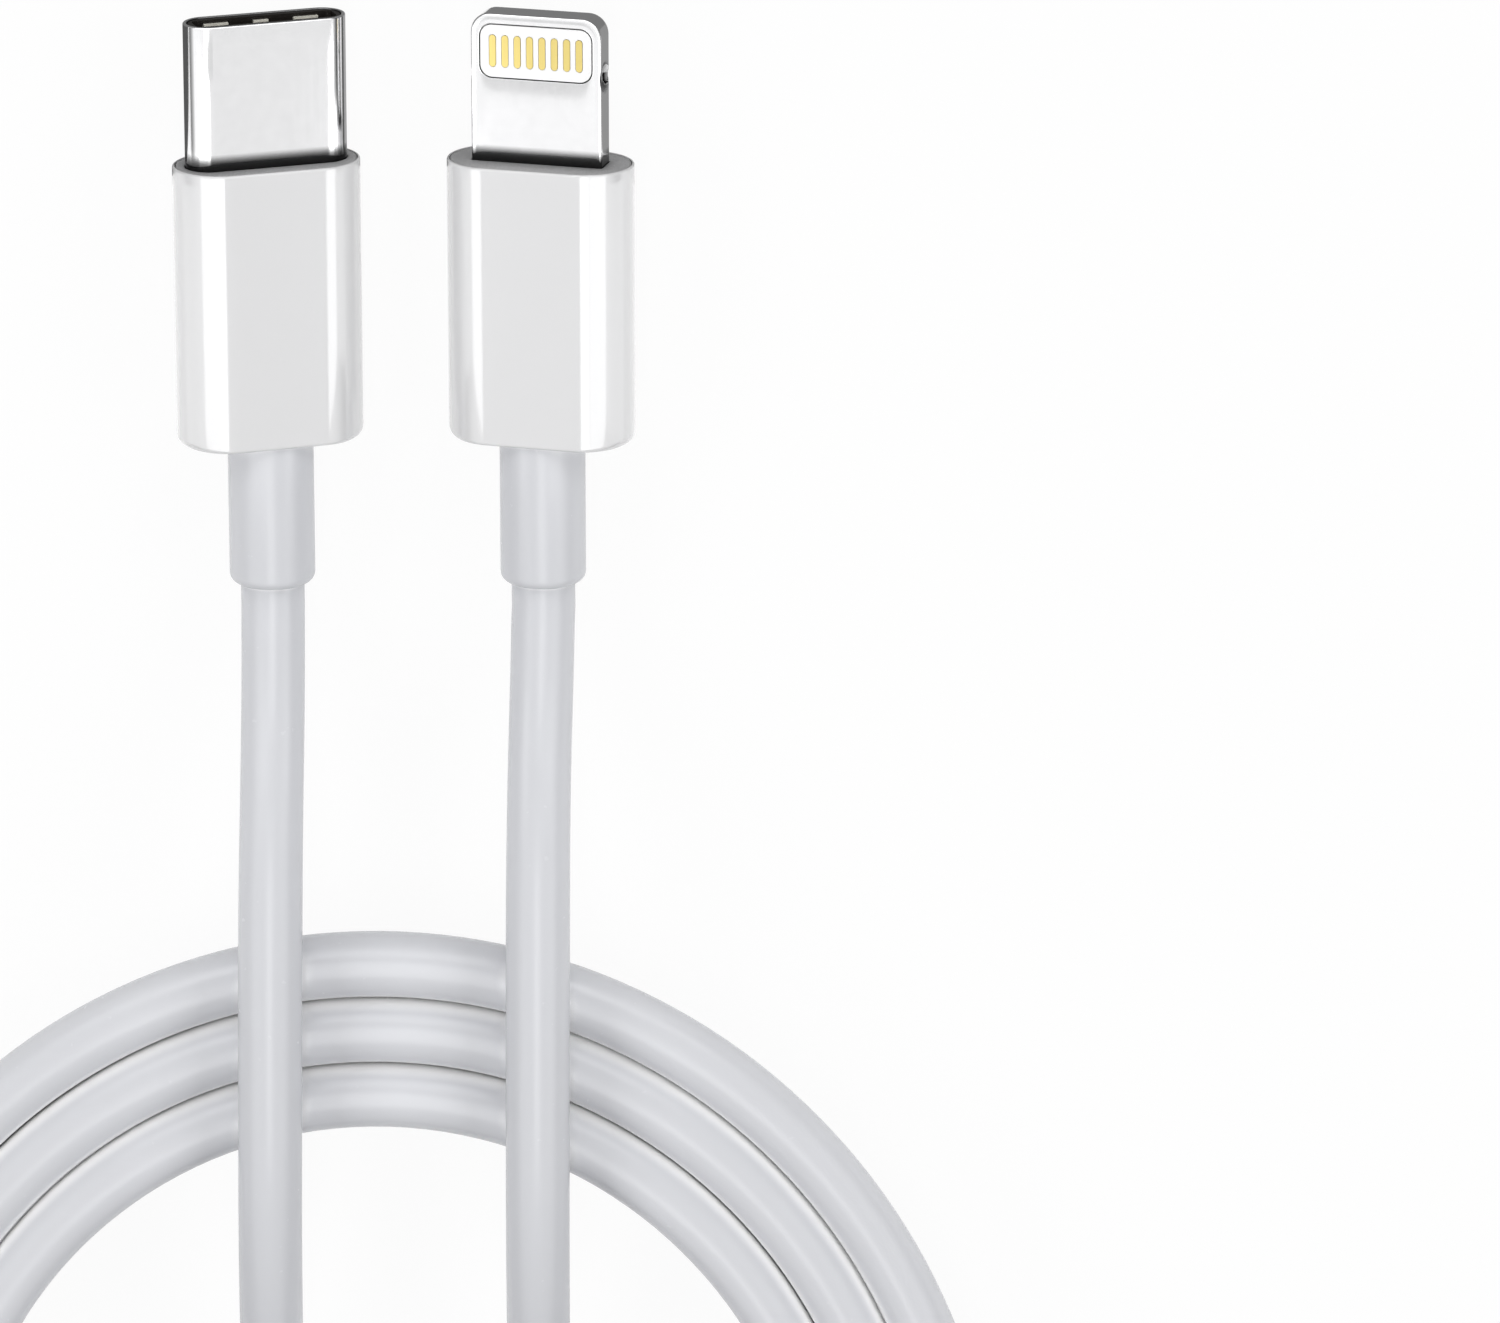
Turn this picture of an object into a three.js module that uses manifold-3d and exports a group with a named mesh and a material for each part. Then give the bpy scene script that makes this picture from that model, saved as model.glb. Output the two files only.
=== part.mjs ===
// A charging cable: a reversible oval plug and an eight-contact blade plug, joined by a cord that is
// wound into a flat coil of two layers. Millimetres, +Z up, the table at z = 0. Both plugs point
// along +Y beyond the coil, and each lies on the table rolled a little about its own length.
import * as THREE from "three";
import { mergeVertices } from "three/addons/utils/BufferGeometryUtils.js";
import Module from "manifold-3d";

const wasm = await Module();
wasm.setup();

// ---- Driving dimensions ---------------------------------------------------------------------

// Fits
const clearance = 0.05; // between pieces that seat in each other
const buttGap = 0.3; // between the faces of cord lengths that meet end to end
const past = 1; // how far a cut runs past the face it goes through
const into = 0.1; // how far one hollow is cut into the next

// Oval plug: its steel shell is what enters a socket
const shellWidth = 8.25;
const shellHeight = 2.4;
const shellWall = 0.2;
const shellReach = 7.3; // from the face of the grip to the mouth
const shellTail = 3.0; // held inside the grip
const mouthRound = 0.08; // worn edge of the mouth
const liningRecess = 0.06; // from the mouth back to the lining
const mouthDepth = 1.9; // wide front part of the lining's cavity
const mouthHeight = 1.3;
const tongueSlotHeight = 1.12; // where a socket's tongue goes between the contact rows
const liningSideWall = 0.275; // left of the lining at each side of that slot
const tongueSlotFloor = 0.35; // the slot's far end, ahead of the grip's face
const liningTail = 1.0; // the lining ends this far inside the grip
const springPlate = 0.1; // thickness of the two shielding springs
const springPlateWidth = 6.6;
const springPlateLength = 2.6;
const springPadLengths = [1.25, 0.75, 1.25]; // across the plug, left to right
const springPadPitch = 2.3;
const springPadDepth = 0.18; // along the plug
const springPadRise = 0.4; // from the plate into the mouth
const springPadSetback = 0.2; // from the lining's front edge
const contactPitch = 0.5;
const contactPlaces = 12; // places in a row
const upperContacts = {
  1: "ground_a",
  4: "power_a",
  5: "sense",
  6: "data_plus",
  7: "data_minus",
  9: "power_b",
  12: "ground_b",
};
const lowerContacts = { 1: "ground_c", 4: "power_c", 9: "power_d", 12: "ground_d" };
const contactWidth = 0.25;
const contactThickness = 0.12;
const contactSetback = 2.3; // from the mouth back to the contact's tip
const contactTail = 3.2; // soldered length behind the grip's face
const latchArmWidth = 0.3;
const latchThickness = 0.24;
const latchBridge = 0.55; // along the plug
const latchSetback = 2.1; // from the mouth back to the latch's tips

// Blade plug: its steel tab is what enters a socket
const tabWidth = 6.7;
const tabThickness = 1.5;
const tabReach = 7.5;
const tabTail = 3.0;
const tabCorner = 1.0; // round corners of the tip
const tabEdge = 0.12; // eased edge of the faces
const tabFlangeLength = 1.0; // the flange holds the tab behind the face plate
const tabFlangeSideGap = 0.45; // from the flange to the sides of the grip's cavity
const tabFlangeFaceGap = 0.65; // and to its upper and lower walls
const detentRadius = 0.95; // round dents in the sides that a socket's springs catch
const detentDepth = 0.4;
const detentSetback = 3.05; // from the tip to a dent's middle
const windowWall = 0.45; // steel at each side of the window, more than a dent is deep
const windowLength = 2.75;
const windowCorner = 0.65;
const windowSetback = 0.52; // from the tip to the window
const insertRecess = 0.02;
const padCount = 8;
const padPitch = 0.635;
const padWidth = 0.33;
const padLength = 1.62;
const padThickness = 0.12;
const padProud = 0.01;
const padSetback = 1.08; // from the tip to the pads
const bladeCardThickness = 0.5;
const insertWall = 0.25; // insert at each side of the card's tongue

// Grip, the same moulding on both plugs
const shoulderSide = 0.625; // grip beyond the shell at each side
const shoulderFace = 1.25; // grip beyond the shell above and below
const gripLength = 14.3;
const gripWall = 0.5;
const gripFrontRound = 0.1;
const gripRearRound = 0.2;
const gripEndWall = 1.9; // rear wall round the strain relief
const facePlateRim = 0.12; // white rim left round the face plate
const facePlateThickness = 0.6;
const facePlateRecess = 0.03;

// Inside the grip
const mouldWall = 0.25;
const mouldGap = 0.1; // from the tails of the shell and the tab back to the mould and the can
const mouldShort = 0.4; // the mould ends this far ahead of the can
const canWall = 0.15;
const canGap = 0.15; // from the can's collar back to the strain relief
const crimpWall = 0.12;
const crimpLength = 1.3;
const cardWidth = 6.2;
const cardThickness = 0.6;
const cardGap = 0.1; // from the oval plug's lining back to its card
const chipSide = 2.4;
const chipHeight = 0.6;
const wireRadius = 0.32;
const wirePitch = 1.3; // at the card's solder pads
const wireQuad = 0.5; // half the spacing of the wires at the end of the cord
const wireSolderLength = 1.2;
const wireSpan = 2.05; // from the cord's jacket to the card
const wireStraight = 0.35; // the wires leave the jacket in line with the cord
const wireNames = ["power", "data_plus", "data_minus", "ground"];

// Cord and strain relief
const cordDiameter = 3.2;
const reliefDiameter = 4.3;
const reliefLength = 7.5;
const reliefRound = 0.35;

// Where the plugs lie
const plugSpacing = 13.6; // between the plugs' axes
const ovalRoll = THREE.MathUtils.degToRad(18.5); // left edge up
const bladeRoll = THREE.MathUtils.degToRad(-15); // right edge up

// Coil: the cord winds outwards on the table, climbs one layer in half a turn, and winds inwards
const coilCentre = new THREE.Vector2(-2.37, -66.8);
const coilStretch = 1.075; // length along Y over width along X
const coilRadius = 31.0; // cord's axis where the upper layer starts, at +X
const coilPitch = 3.258; // between turns side by side
const layerRise = 3.75; // between the two layers
const lowerTurns = 1.627; // on the table, before the climb
const climbTurns = 0.5;
const climbSwell = 0.22; // how far the climb bulges past a round path
const upperTurns = 2.671;
const endInward = THREE.MathUtils.degToRad(9); // how far both ends turn in from the winding
const stepsPerTurn = 24;
const coilSides = 6;
const tailSides = 8;
const tailSteps = 18;

// Routes of the two free lengths between their plug and the coil: each starts in line with its
// strain relief, goes over the coil's far side, and comes down inside it to meet the winding.
const ovalTailRoute = [
  [-6.83, -19.5, 3.5],
  [-6.88, -22.5, 4.48],
  [-6.92, -25.5, 6.1],
  [-6.95, -28.5, 7.7],
  [-6.98, -31.5, 8.68],
  [-7.02, -34.5, 9.0],
  [-7.07, -38.5, 9.02],
  [-7.13, -42.5, 9.0],
  [-7.2, -46, 8.79],
  [-7.28, -50, 7.84],
  [-7.36, -54, 6.13],
  [-7.44, -58, 3.97],
  [-7.52, -62.04, 2.45],
  [-7.58, -66.13, 1.75],
  [-7.61, -70.73, 1.61],
  [-7.6, -75.33, 1.61],
  [-6.64, -80.65, 1.61],
  [-3.84, -85.15, 1.61],
  [0.34, -88.2, 1.61],
  [5.27, -89.29, 1.61],
  [8.9, -88.85, 1.61],
];
const bladeTailRoute = [
  [6.7, -19.5, 3.36],
  [6.58, -22.5, 4.3],
  [6.52, -25.5, 5.86],
  [6.5, -28.5, 7.53],
  [6.49, -31.5, 8.57],
  [6.47, -35, 9.0],
  [6.44, -39.5, 9.02],
  [6.41, -43.5, 9.0],
  [6.38, -47.2, 8.77],
  [6.35, -51.2, 7.74],
  [6.32, -55.2, 5.89],
  [6.28, -59.2, 3.68],
  [6.25, -63.27, 2.24],
  [6.22, -67.36, 1.68],
  [6.2, -71.45, 1.8],
  [6.15, -75.53, 2.6],
  [5.42, -80.35, 4.38],
  [3.16, -84.55, 5.29],
  [-0.3, -87.66, 5.35],
  [-4.54, -89.32, 5.35],
  [-7.2, -89.6, 5.35],
];

// ---- Values worked out from the dimensions --------------------------------------------------

const gripWidth = shellWidth + 2 * shoulderSide;
const gripHeight = shellHeight + 2 * shoulderFace;
const cavityWidth = gripWidth - 2 * gripWall;
const cavityHeight = gripHeight - 2 * gripWall;
const gripReach = Math.max(shellReach, tabReach);
const mouldSetback = Math.max(shellTail, tabTail) + mouldGap; // from the grip's face
const plugRear = gripLength + reliefLength;
const faceY = (plugRear - gripReach) / 2; // the grips' faces, so that y = 0 halves the plugs
const cordRadius = cordDiameter / 2;
const lowerZ = cordRadius;
const upperZ = lowerZ + layerRise;

// Along a plug, from the rear: the strain relief's front, the can's rear face, and both cards' rear.
const reliefFront = gripEndWall - gripLength - clearance;
const canRear = reliefFront + canGap + crimpLength;
const jacketFront = canRear - clearance;
const cardRear = jacketFront + wireSpan;
const solderFront = cardRear + 1.5 * wireSolderLength;

// Half the width of a grip that is rolled, and how high its axis then lies above the table.
function rolledHalf(roll) {
  return {
    across: ((gripWidth - gripHeight) / 2) * Math.cos(roll) + gripHeight / 2,
    up: ((gripWidth - gripHeight) / 2) * Math.abs(Math.sin(roll)) + gripHeight / 2,
  };
}
const ovalHalf = rolledHalf(ovalRoll);
const bladeHalf = rolledHalf(bladeRoll);
const plugsOffset = (ovalHalf.across - bladeHalf.across) / 2; // so that x = 0 halves the plugs
const ovalAxis = new THREE.Vector3(plugsOffset - plugSpacing / 2, faceY, ovalHalf.up);
const bladeAxis = new THREE.Vector3(plugsOffset + plugSpacing / 2, faceY, bladeHalf.up);

// ---- Materials --------------------------------------------------------------------------------

function finish(color, roughness, metalness) {
  return () => new THREE.MeshStandardMaterial({ color, roughness, metalness, flatShading: true });
}
const finishes = {
  grip: finish(0xececec, 0.25, 0),
  facePlate: finish(0x929294, 0.5, 0),
  jacket: finish(0xd8dade, 0.45, 0),
  relief: finish(0xd9dbdf, 0.45, 0),
  brightSteel: finish(0xd6d6d8, 0.15, 1),
  satinSteel: finish(0xc4c5c8, 0.35, 1),
  springSteel: finish(0xe9e4cf, 0.3, 1),
  lining: finish(0x1c1714, 0.55, 0),
  insert: finish(0xf2f2f2, 0.35, 0),
  gold: finish(0xecd478, 0.3, 1),
  mould: finish(0xdedbd2, 0.6, 0),
  can: finish(0xb9bcc0, 0.35, 1),
  card: finish(0x1f5a3a, 0.5, 0),
  chip: finish(0x1a1a1c, 0.5, 0),
  wire: {
    power: finish(0xb02a22, 0.5, 0),
    data_plus: finish(0x2c8a4a, 0.5, 0),
    data_minus: finish(0xe6e6e6, 0.5, 0),
    ground: finish(0x202022, 0.5, 0),
  },
};

// ---- Geometry helpers -------------------------------------------------------------------------

// A closed geometry as a solid that can be joined and cut.
function solid(geometry) {
  const bare = geometry.clone();
  for (const name of Object.keys(bare.attributes)) if (name !== "position") bare.deleteAttribute(name);
  const merged = mergeVertices(bare, 1e-4);
  return new wasm.Manifold(
    new wasm.Mesh({
      numProp: 3,
      vertProperties: new Float32Array(merged.attributes.position.array),
      triVerts: new Uint32Array(merged.index.array),
    }),
  );
}

// A solid back as a geometry.
function geometryOf(body) {
  const mesh = body.getMesh();
  return new THREE.BufferGeometry()
    .setAttribute("position", new THREE.BufferAttribute(new Float32Array(mesh.vertProperties), 3))
    .setIndex(new THREE.BufferAttribute(new Uint32Array(mesh.triVerts), 1));
}

function part(name, shape, material) {
  const geometry = shape.isBufferGeometry ? shape : geometryOf(shape);
  geometry.computeVertexNormals();
  const mesh = new THREE.Mesh(geometry, material());
  mesh.name = name;
  return mesh;
}

// An outline with straight sides and round ends: width across X, height across Z.
function ovalOutline(width, height) {
  const half = (width - height) / 2;
  const r = height / 2;
  return new THREE.Shape()
    .moveTo(-half, -r)
    .lineTo(half, -r)
    .absarc(half, 0, r, -Math.PI / 2, Math.PI / 2)
    .lineTo(-half, r)
    .absarc(-half, 0, r, Math.PI / 2, (3 * Math.PI) / 2);
}

function boxOutline(width, height, corner = 0, x = 0, z = 0) {
  const left = x - width / 2;
  const right = x + width / 2;
  const low = z - height / 2;
  const high = z + height / 2;
  const outline = new THREE.Shape().moveTo(left + corner, low).lineTo(right - corner, low);
  if (corner) outline.absarc(right - corner, low + corner, corner, -Math.PI / 2, 0);
  outline.lineTo(right, high - corner);
  if (corner) outline.absarc(right - corner, high - corner, corner, 0, Math.PI / 2);
  outline.lineTo(left + corner, high);
  if (corner) outline.absarc(left + corner, high - corner, corner, Math.PI / 2, Math.PI);
  outline.lineTo(left, low + corner);
  if (corner) outline.absarc(left + corner, low + corner, corner, Math.PI, 1.5 * Math.PI);
  return outline;
}

// The outline carried along the plug from y = rear to y = front, with both end edges rounded.
function alongPlug(outline, rear, front, round = 0, segments = 2, curveSegments = 8) {
  const geometry = new THREE.ExtrudeGeometry(outline, {
    depth: front - rear - 2 * round,
    bevelEnabled: round > 0,
    bevelSize: round,
    bevelThickness: round,
    bevelOffset: -round,
    bevelSegments: segments,
    curveSegments,
  });
  geometry.rotateX(Math.PI / 2);
  geometry.translate(0, front - round, 0);
  return solid(geometry);
}

// An outline drawn in the plug's flat plane (X across, Y along), with a thickness in Z.
function acrossFace(outline, low, high, round = 0, curveSegments = 5) {
  const geometry = new THREE.ExtrudeGeometry(outline, {
    depth: high - low - 2 * round,
    bevelEnabled: round > 0,
    bevelSize: round,
    bevelThickness: round,
    bevelOffset: -round,
    bevelSegments: 2,
    curveSegments,
  });
  geometry.translate(0, 0, low + round);
  return solid(geometry);
}

function block(x0, x1, y0, y1, z0, z1) {
  const geometry = new THREE.BoxGeometry(x1 - x0, y1 - y0, z1 - z0);
  geometry.translate((x0 + x1) / 2, (y0 + y1) / 2, (z0 + z1) / 2);
  return solid(geometry);
}

// A round rod along the plug.
function rod(radius, rear, front, sides = 24) {
  const geometry = new THREE.CylinderGeometry(radius, radius, front - rear, sides);
  geometry.translate(0, (front + rear) / 2, 0);
  return solid(geometry);
}

// A tube swept along points, with many-sided sections and flat ends.
function sweptTube(points, radius, sides, steps) {
  const section = new THREE.Shape();
  for (let i = 0; i < sides; i++) {
    const a = ((i + 0.5) / sides) * 2 * Math.PI;
    if (i) section.lineTo(radius * Math.cos(a), radius * Math.sin(a));
    else section.moveTo(radius * Math.cos(a), radius * Math.sin(a));
  }
  section.closePath();
  const path = new THREE.CatmullRomCurve3(points, false, "centripetal");
  return new THREE.ExtrudeGeometry(section, { steps, bevelEnabled: false, extrudePath: path });
}

// ---- Pieces that both plugs have ----------------------------------------------------------------

const gripCurve = 12; // facets round each side of the grip

// The white grip: an oval sleeve with eased ends and a pocket for the face plate.
function grip(name) {
  const outline = ovalOutline(gripWidth, gripHeight);
  const middle = -gripLength / 2;
  const lap = gripFrontRound + gripRearRound; // the two halves overlap past their rounded ends
  const front = alongPlug(outline, middle - lap, 0, gripFrontRound, 2, gripCurve);
  const rear = alongPlug(outline, -gripLength, middle + lap, gripRearRound, 2, gripCurve);
  const whole = front.add(rear);
  const pocketRear = -facePlateRecess - facePlateThickness - clearance;
  const pocket = alongPlug(
    ovalOutline(gripWidth - 2 * facePlateRim, gripHeight - 2 * facePlateRim),
    pocketRear,
    past,
  );
  const cavityRear = gripEndWall - gripLength;
  const cavity = alongPlug(ovalOutline(cavityWidth, cavityHeight), cavityRear, pocketRear + into);
  const bore = rod(reliefDiameter / 2 + clearance, -gripLength - past, cavityRear + into);
  return part(name, whole.subtract(pocket).subtract(cavity).subtract(bore), finishes.grip);
}

// The grey plate that closes the grip's front round the metal that comes out of it.
function facePlate(name, opening) {
  const rim = facePlateRim + clearance;
  const plate = alongPlug(
    ovalOutline(gripWidth - 2 * rim, gripHeight - 2 * rim),
    -facePlateRecess - facePlateThickness,
    -facePlateRecess,
  );
  return part(name, plate.subtract(opening), finishes.facePlate);
}

// The sleeve that keeps the cord from kinking where it leaves the grip.
function strainRelief(name) {
  const inner = cordRadius + clearance;
  const outer = reliefDiameter / 2;
  const rear = -plugRear;
  const profile = [
    [inner, rear],
    [outer - reliefRound, rear],
    [outer - 0.29 * reliefRound, rear + 0.29 * reliefRound],
    [outer, rear + reliefRound],
    [outer, reliefFront],
    [inner, reliefFront],
    [inner, rear],
  ].map(([r, y]) => new THREE.Vector2(r, y));
  return part(name, solid(new THREE.LatheGeometry(profile, 24)), finishes.relief);
}

// The cord's jacket inside the strain relief and the can's collar, cut square at the can.
function jacketEnd(name) {
  return part(name, rod(cordRadius, -plugRear, jacketFront), finishes.jacket);
}

// The soft inner moulding round the shield can.
function innerMould(name) {
  const width = cavityWidth - 2 * clearance;
  const height = cavityHeight - 2 * clearance;
  const rear = canRear + mouldShort;
  const outer = alongPlug(ovalOutline(width, height), rear, -mouldSetback);
  const inner = alongPlug(ovalOutline(width - 2 * mouldWall, height - 2 * mouldWall), rear - past, past);
  return part(name, outer.subtract(inner), finishes.mould);
}

// The pressed can that shields the card, with a hole in its rear wall for the wires and a collar
// behind it that is crimped round the cord's jacket.
function shieldCan(name) {
  const width = cavityWidth - 2 * (mouldWall + 2 * clearance);
  const height = cavityHeight - 2 * (mouldWall + 2 * clearance);
  const body = alongPlug(ovalOutline(width, height), canRear, -mouldSetback);
  const room = alongPlug(ovalOutline(width - 2 * canWall, height - 2 * canWall), canRear + canWall, past);
  const collar = rod(cordRadius + clearance + crimpWall, canRear - crimpLength, canRear + canWall);
  const bore = rod(cordRadius + clearance, canRear - crimpLength - past, canRear);
  const wireRoom = Math.SQRT2 * wireQuad + wireRadius + clearance;
  const wireHole = rod(wireRoom, canRear - past, canRear + canWall + past);
  return part(name, body.add(collar).subtract(room).subtract(bore).subtract(wireHole), finishes.can);
}

// Four wires from the end of the jacket up to the card's solder pads.
function wires(prefix, cardTop) {
  const solderZ = cardTop + clearance + wireRadius;
  return wireNames.map((use, i) => {
    const padX = (i - (wireNames.length - 1) / 2) * wirePitch;
    const quadX = i < 2 ? -wireQuad : wireQuad;
    const quadZ = i % 3 ? -wireQuad : wireQuad;
    const points = [
      new THREE.Vector3(quadX, jacketFront + clearance, quadZ),
      new THREE.Vector3(quadX, jacketFront + wireStraight, quadZ),
      new THREE.Vector3(padX, solderFront - wireSolderLength - wireStraight, solderZ),
      new THREE.Vector3(padX, solderFront, solderZ),
    ];
    return part(`${prefix}_wire_${use}`, solid(sweptTube(points, wireRadius, 6, 8)), finishes.wire[use]);
  });
}

function commonPieces(prefix, opening, cardTop) {
  return [
    grip(`${prefix}_grip`),
    facePlate(`${prefix}_face_plate`, opening),
    strainRelief(`${prefix}_strain_relief`),
    jacketEnd(`${prefix}_jacket_end`),
    innerMould(`${prefix}_inner_mould`),
    shieldCan(`${prefix}_shield_can`),
    ...wires(prefix, cardTop),
  ];
}

// ---- Oval plug ------------------------------------------------------------------------------------

// The lining's outside, and where the shielding springs end.
const liningWidth = shellWidth - 2 * (shellWall + clearance);
const liningHeight = shellHeight - 2 * (shellWall + clearance);
const tongueSlotWidth = liningWidth - 2 * liningSideWall;
const liningFront = shellReach - liningRecess;
const springFront = liningFront - springPadSetback;

function ovalShell() {
  const outer = alongPlug(ovalOutline(shellWidth, shellHeight), -shellTail, shellReach, mouthRound, 1);
  const inner = alongPlug(
    ovalOutline(shellWidth - 2 * shellWall, shellHeight - 2 * shellWall),
    -shellTail - past,
    shellReach + past,
  );
  return part("oval_shell", outer.subtract(inner), finishes.brightSteel);
}

// Where a contact lies: its middle across the plug, and its lower and upper faces.
const contactInner = cardThickness / 2 + clearance;
function contactX(place) {
  return (place - (contactPlaces + 1) / 2) * contactPitch;
}

// A band that follows the upper side of the lining's outside, between two depths below it, as
// wide as the shielding springs and a margin.
function springBand(high, low, margin, rear, front) {
  const outer = alongPlug(ovalOutline(liningWidth - 2 * high, liningHeight - 2 * high), rear, front);
  const under = ovalOutline(liningWidth - 2 * low, liningHeight - 2 * low);
  const inner = alongPlug(under, rear - past, front + past);
  const half = springPlateWidth / 2 + margin;
  return outer.subtract(inner).intersect(block(-half, half, rear, front, 0, liningHeight));
}

function ovalLining() {
  let body = alongPlug(ovalOutline(liningWidth, liningHeight), -liningTail, liningFront);
  const mouth = boxOutline(tongueSlotWidth, mouthHeight, 0.3);
  body = body.subtract(alongPlug(mouth, shellReach - mouthDepth, shellReach + past));
  const slot = boxOutline(tongueSlotWidth, tongueSlotHeight, 0.2);
  body = body.subtract(alongPlug(slot, tongueSlotFloor, shellReach));
  const pocketRear = springFront - springPlateLength - clearance;
  const pocketFront = springFront + clearance;
  const pocket = springBand(-clearance, springPlate + clearance, clearance, pocketRear, pocketFront);
  body = body.subtract(pocket.add(pocket.mirror([0, 0, 1])));
  springPadLengths.forEach((length, i) => {
    const half = length / 2 + clearance;
    const x = (i - 1) * springPadPitch;
    const rear = springFront - springPadDepth - clearance;
    body = body.subtract(block(x - half, x + half, rear, pocketFront, -liningHeight, liningHeight));
  });
  const roomFront = tongueSlotFloor + past;
  const rows = [
    [upperContacts, 1],
    [lowerContacts, -1],
  ];
  for (const [row, side] of rows) {
    for (const place of Object.keys(row)) {
      const half = contactWidth / 2 + clearance;
      const z = [side * (contactInner - clearance), side * (contactInner + contactThickness + clearance)];
      const span = [Math.min(...z), Math.max(...z)];
      body = body.subtract(
        block(contactX(place) - half, contactX(place) + half, -liningTail - past, roomFront, ...span),
      );
    }
  }
  return part("oval_lining", body, finishes.lining);
}

// A thin plate in the lining's pocket whose three pads press on a socket's tongue.
function shieldingSpring(name, side) {
  const high = clearance / 2;
  const top = liningHeight / 2 - high - springPlate / 2; // the pads start inside the plate
  let body = springBand(high, high + springPlate, 0, springFront - springPlateLength, springFront);
  springPadLengths.forEach((length, i) => {
    const x = (i - 1) * springPadPitch;
    const tip = liningHeight / 2 - high - springPadRise;
    const rear = springFront - springPadDepth;
    body = body.add(block(x - length / 2, x + length / 2, rear, springFront, tip, top));
  });
  return part(name, side > 0 ? body : body.mirror([0, 0, 1]), finishes.springSteel);
}

// A flat U whose two arms hook behind the notches of a socket's tongue.
function latch() {
  const half = tongueSlotWidth / 2 - clearance;
  const rear = tongueSlotFloor + clearance;
  const front = shellReach - latchSetback;
  const z = latchThickness / 2;
  const bridge = block(-half, half, rear, rear + latchBridge, -z, z);
  const arms = [-1, 1].map((side) => {
    const x = [side * half, side * (half - latchArmWidth)].sort((a, b) => a - b);
    const hook = [side * half, side * (half - 2 * latchArmWidth)].sort((a, b) => a - b);
    return block(...x, rear, front, -z, z).add(block(...hook, front - latchArmWidth, front, -z, z));
  });
  return part("oval_latch", bridge.add(arms[0]).add(arms[1]), finishes.satinSteel);
}

function ovalContacts(row, side, level) {
  return Object.entries(row).map(([place, use]) => {
    const x = contactX(place);
    const z = [side * contactInner, side * (contactInner + contactThickness)].sort((a, b) => a - b);
    const front = shellReach - contactSetback;
    const bar = block(x - contactWidth / 2, x + contactWidth / 2, -contactTail, front, ...z);
    return part(`oval_contact_${level}_${use}`, bar, finishes.gold);
  });
}

function ovalCard() {
  const half = cardWidth / 2;
  const front = -liningTail - cardGap;
  const body = block(-half, half, cardRear, front, -cardThickness / 2, cardThickness / 2);
  return part("oval_card", body, finishes.card);
}

function ovalPlug() {
  const outline = ovalOutline(shellWidth + 2 * clearance, shellHeight + 2 * clearance);
  const opening = alongPlug(outline, -shellTail, shellReach);
  const plug = new THREE.Group();
  plug.add(
    ovalShell(),
    ovalLining(),
    shieldingSpring("oval_spring_upper", 1),
    shieldingSpring("oval_spring_lower", -1),
    latch(),
    ovalCard(),
    ...ovalContacts(upperContacts, 1, "upper"),
    ...ovalContacts(lowerContacts, -1, "lower"),
    ...commonPieces("oval", opening, cardThickness / 2),
  );
  plug.position.copy(ovalAxis);
  plug.rotation.y = ovalRoll;
  return plug;
}

// ---- Blade plug -------------------------------------------------------------------------------------

const windowWidth = tabWidth - 2 * windowWall;
const windowFront = tabReach - windowSetback;
const windowMiddle = windowFront - windowLength / 2;
const bladeCardTongue = windowWidth - 2 * insertWall; // width inside the tab

// The tab's plan: square at the grip, round corners at the tip.
function tabPlan() {
  const half = tabWidth / 2;
  return new THREE.Shape()
    .moveTo(-half, -tabTail)
    .lineTo(half, -tabTail)
    .lineTo(half, tabReach - tabCorner)
    .absarc(half - tabCorner, tabReach - tabCorner, tabCorner, 0, Math.PI / 2)
    .lineTo(-half + tabCorner, tabReach)
    .absarc(-half + tabCorner, tabReach - tabCorner, tabCorner, Math.PI / 2, Math.PI);
}

function bladeTab() {
  let body = acrossFace(tabPlan(), -tabThickness / 2, tabThickness / 2, tabEdge);
  const flangeFront = -facePlateRecess - facePlateThickness - 2 * clearance;
  const flangeWidth = cavityWidth - 2 * tabFlangeSideGap;
  const flangeThickness = cavityHeight - 2 * tabFlangeFaceGap;
  const flange = boxOutline(flangeWidth, flangeThickness, flangeThickness / 4);
  body = body.add(alongPlug(flange, flangeFront - tabFlangeLength, flangeFront));
  for (const side of [-1, 1]) {
    const dent = new THREE.SphereGeometry(detentRadius, 32, 24);
    dent.translate(side * (tabWidth / 2 + detentRadius - detentDepth), tabReach - detentSetback, 0);
    body = body.subtract(solid(dent));
  }
  const window = boxOutline(windowWidth, windowLength, windowCorner, 0, windowMiddle);
  body = body.subtract(acrossFace(window, -tabThickness, tabThickness));
  const halfCard = bladeCardTongue / 2 + clearance;
  const slot = bladeCardThickness / 2 + clearance;
  body = body.subtract(block(-halfCard, halfCard, -tabTail - past, windowMiddle, -slot, slot));
  return part("blade_tab", body, finishes.satinSteel);
}

const padCurve = 3; // facets round each quarter of a pad's ends

function padX(i) {
  return (i - (padCount - 1) / 2) * padPitch;
}

function padPlan(i, grow) {
  const middle = tabReach - padSetback - padLength / 2;
  const width = padWidth + 2 * grow;
  return boxOutline(width, padLength + 2 * grow, width / 2 - 0.001, padX(i), middle);
}

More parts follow.
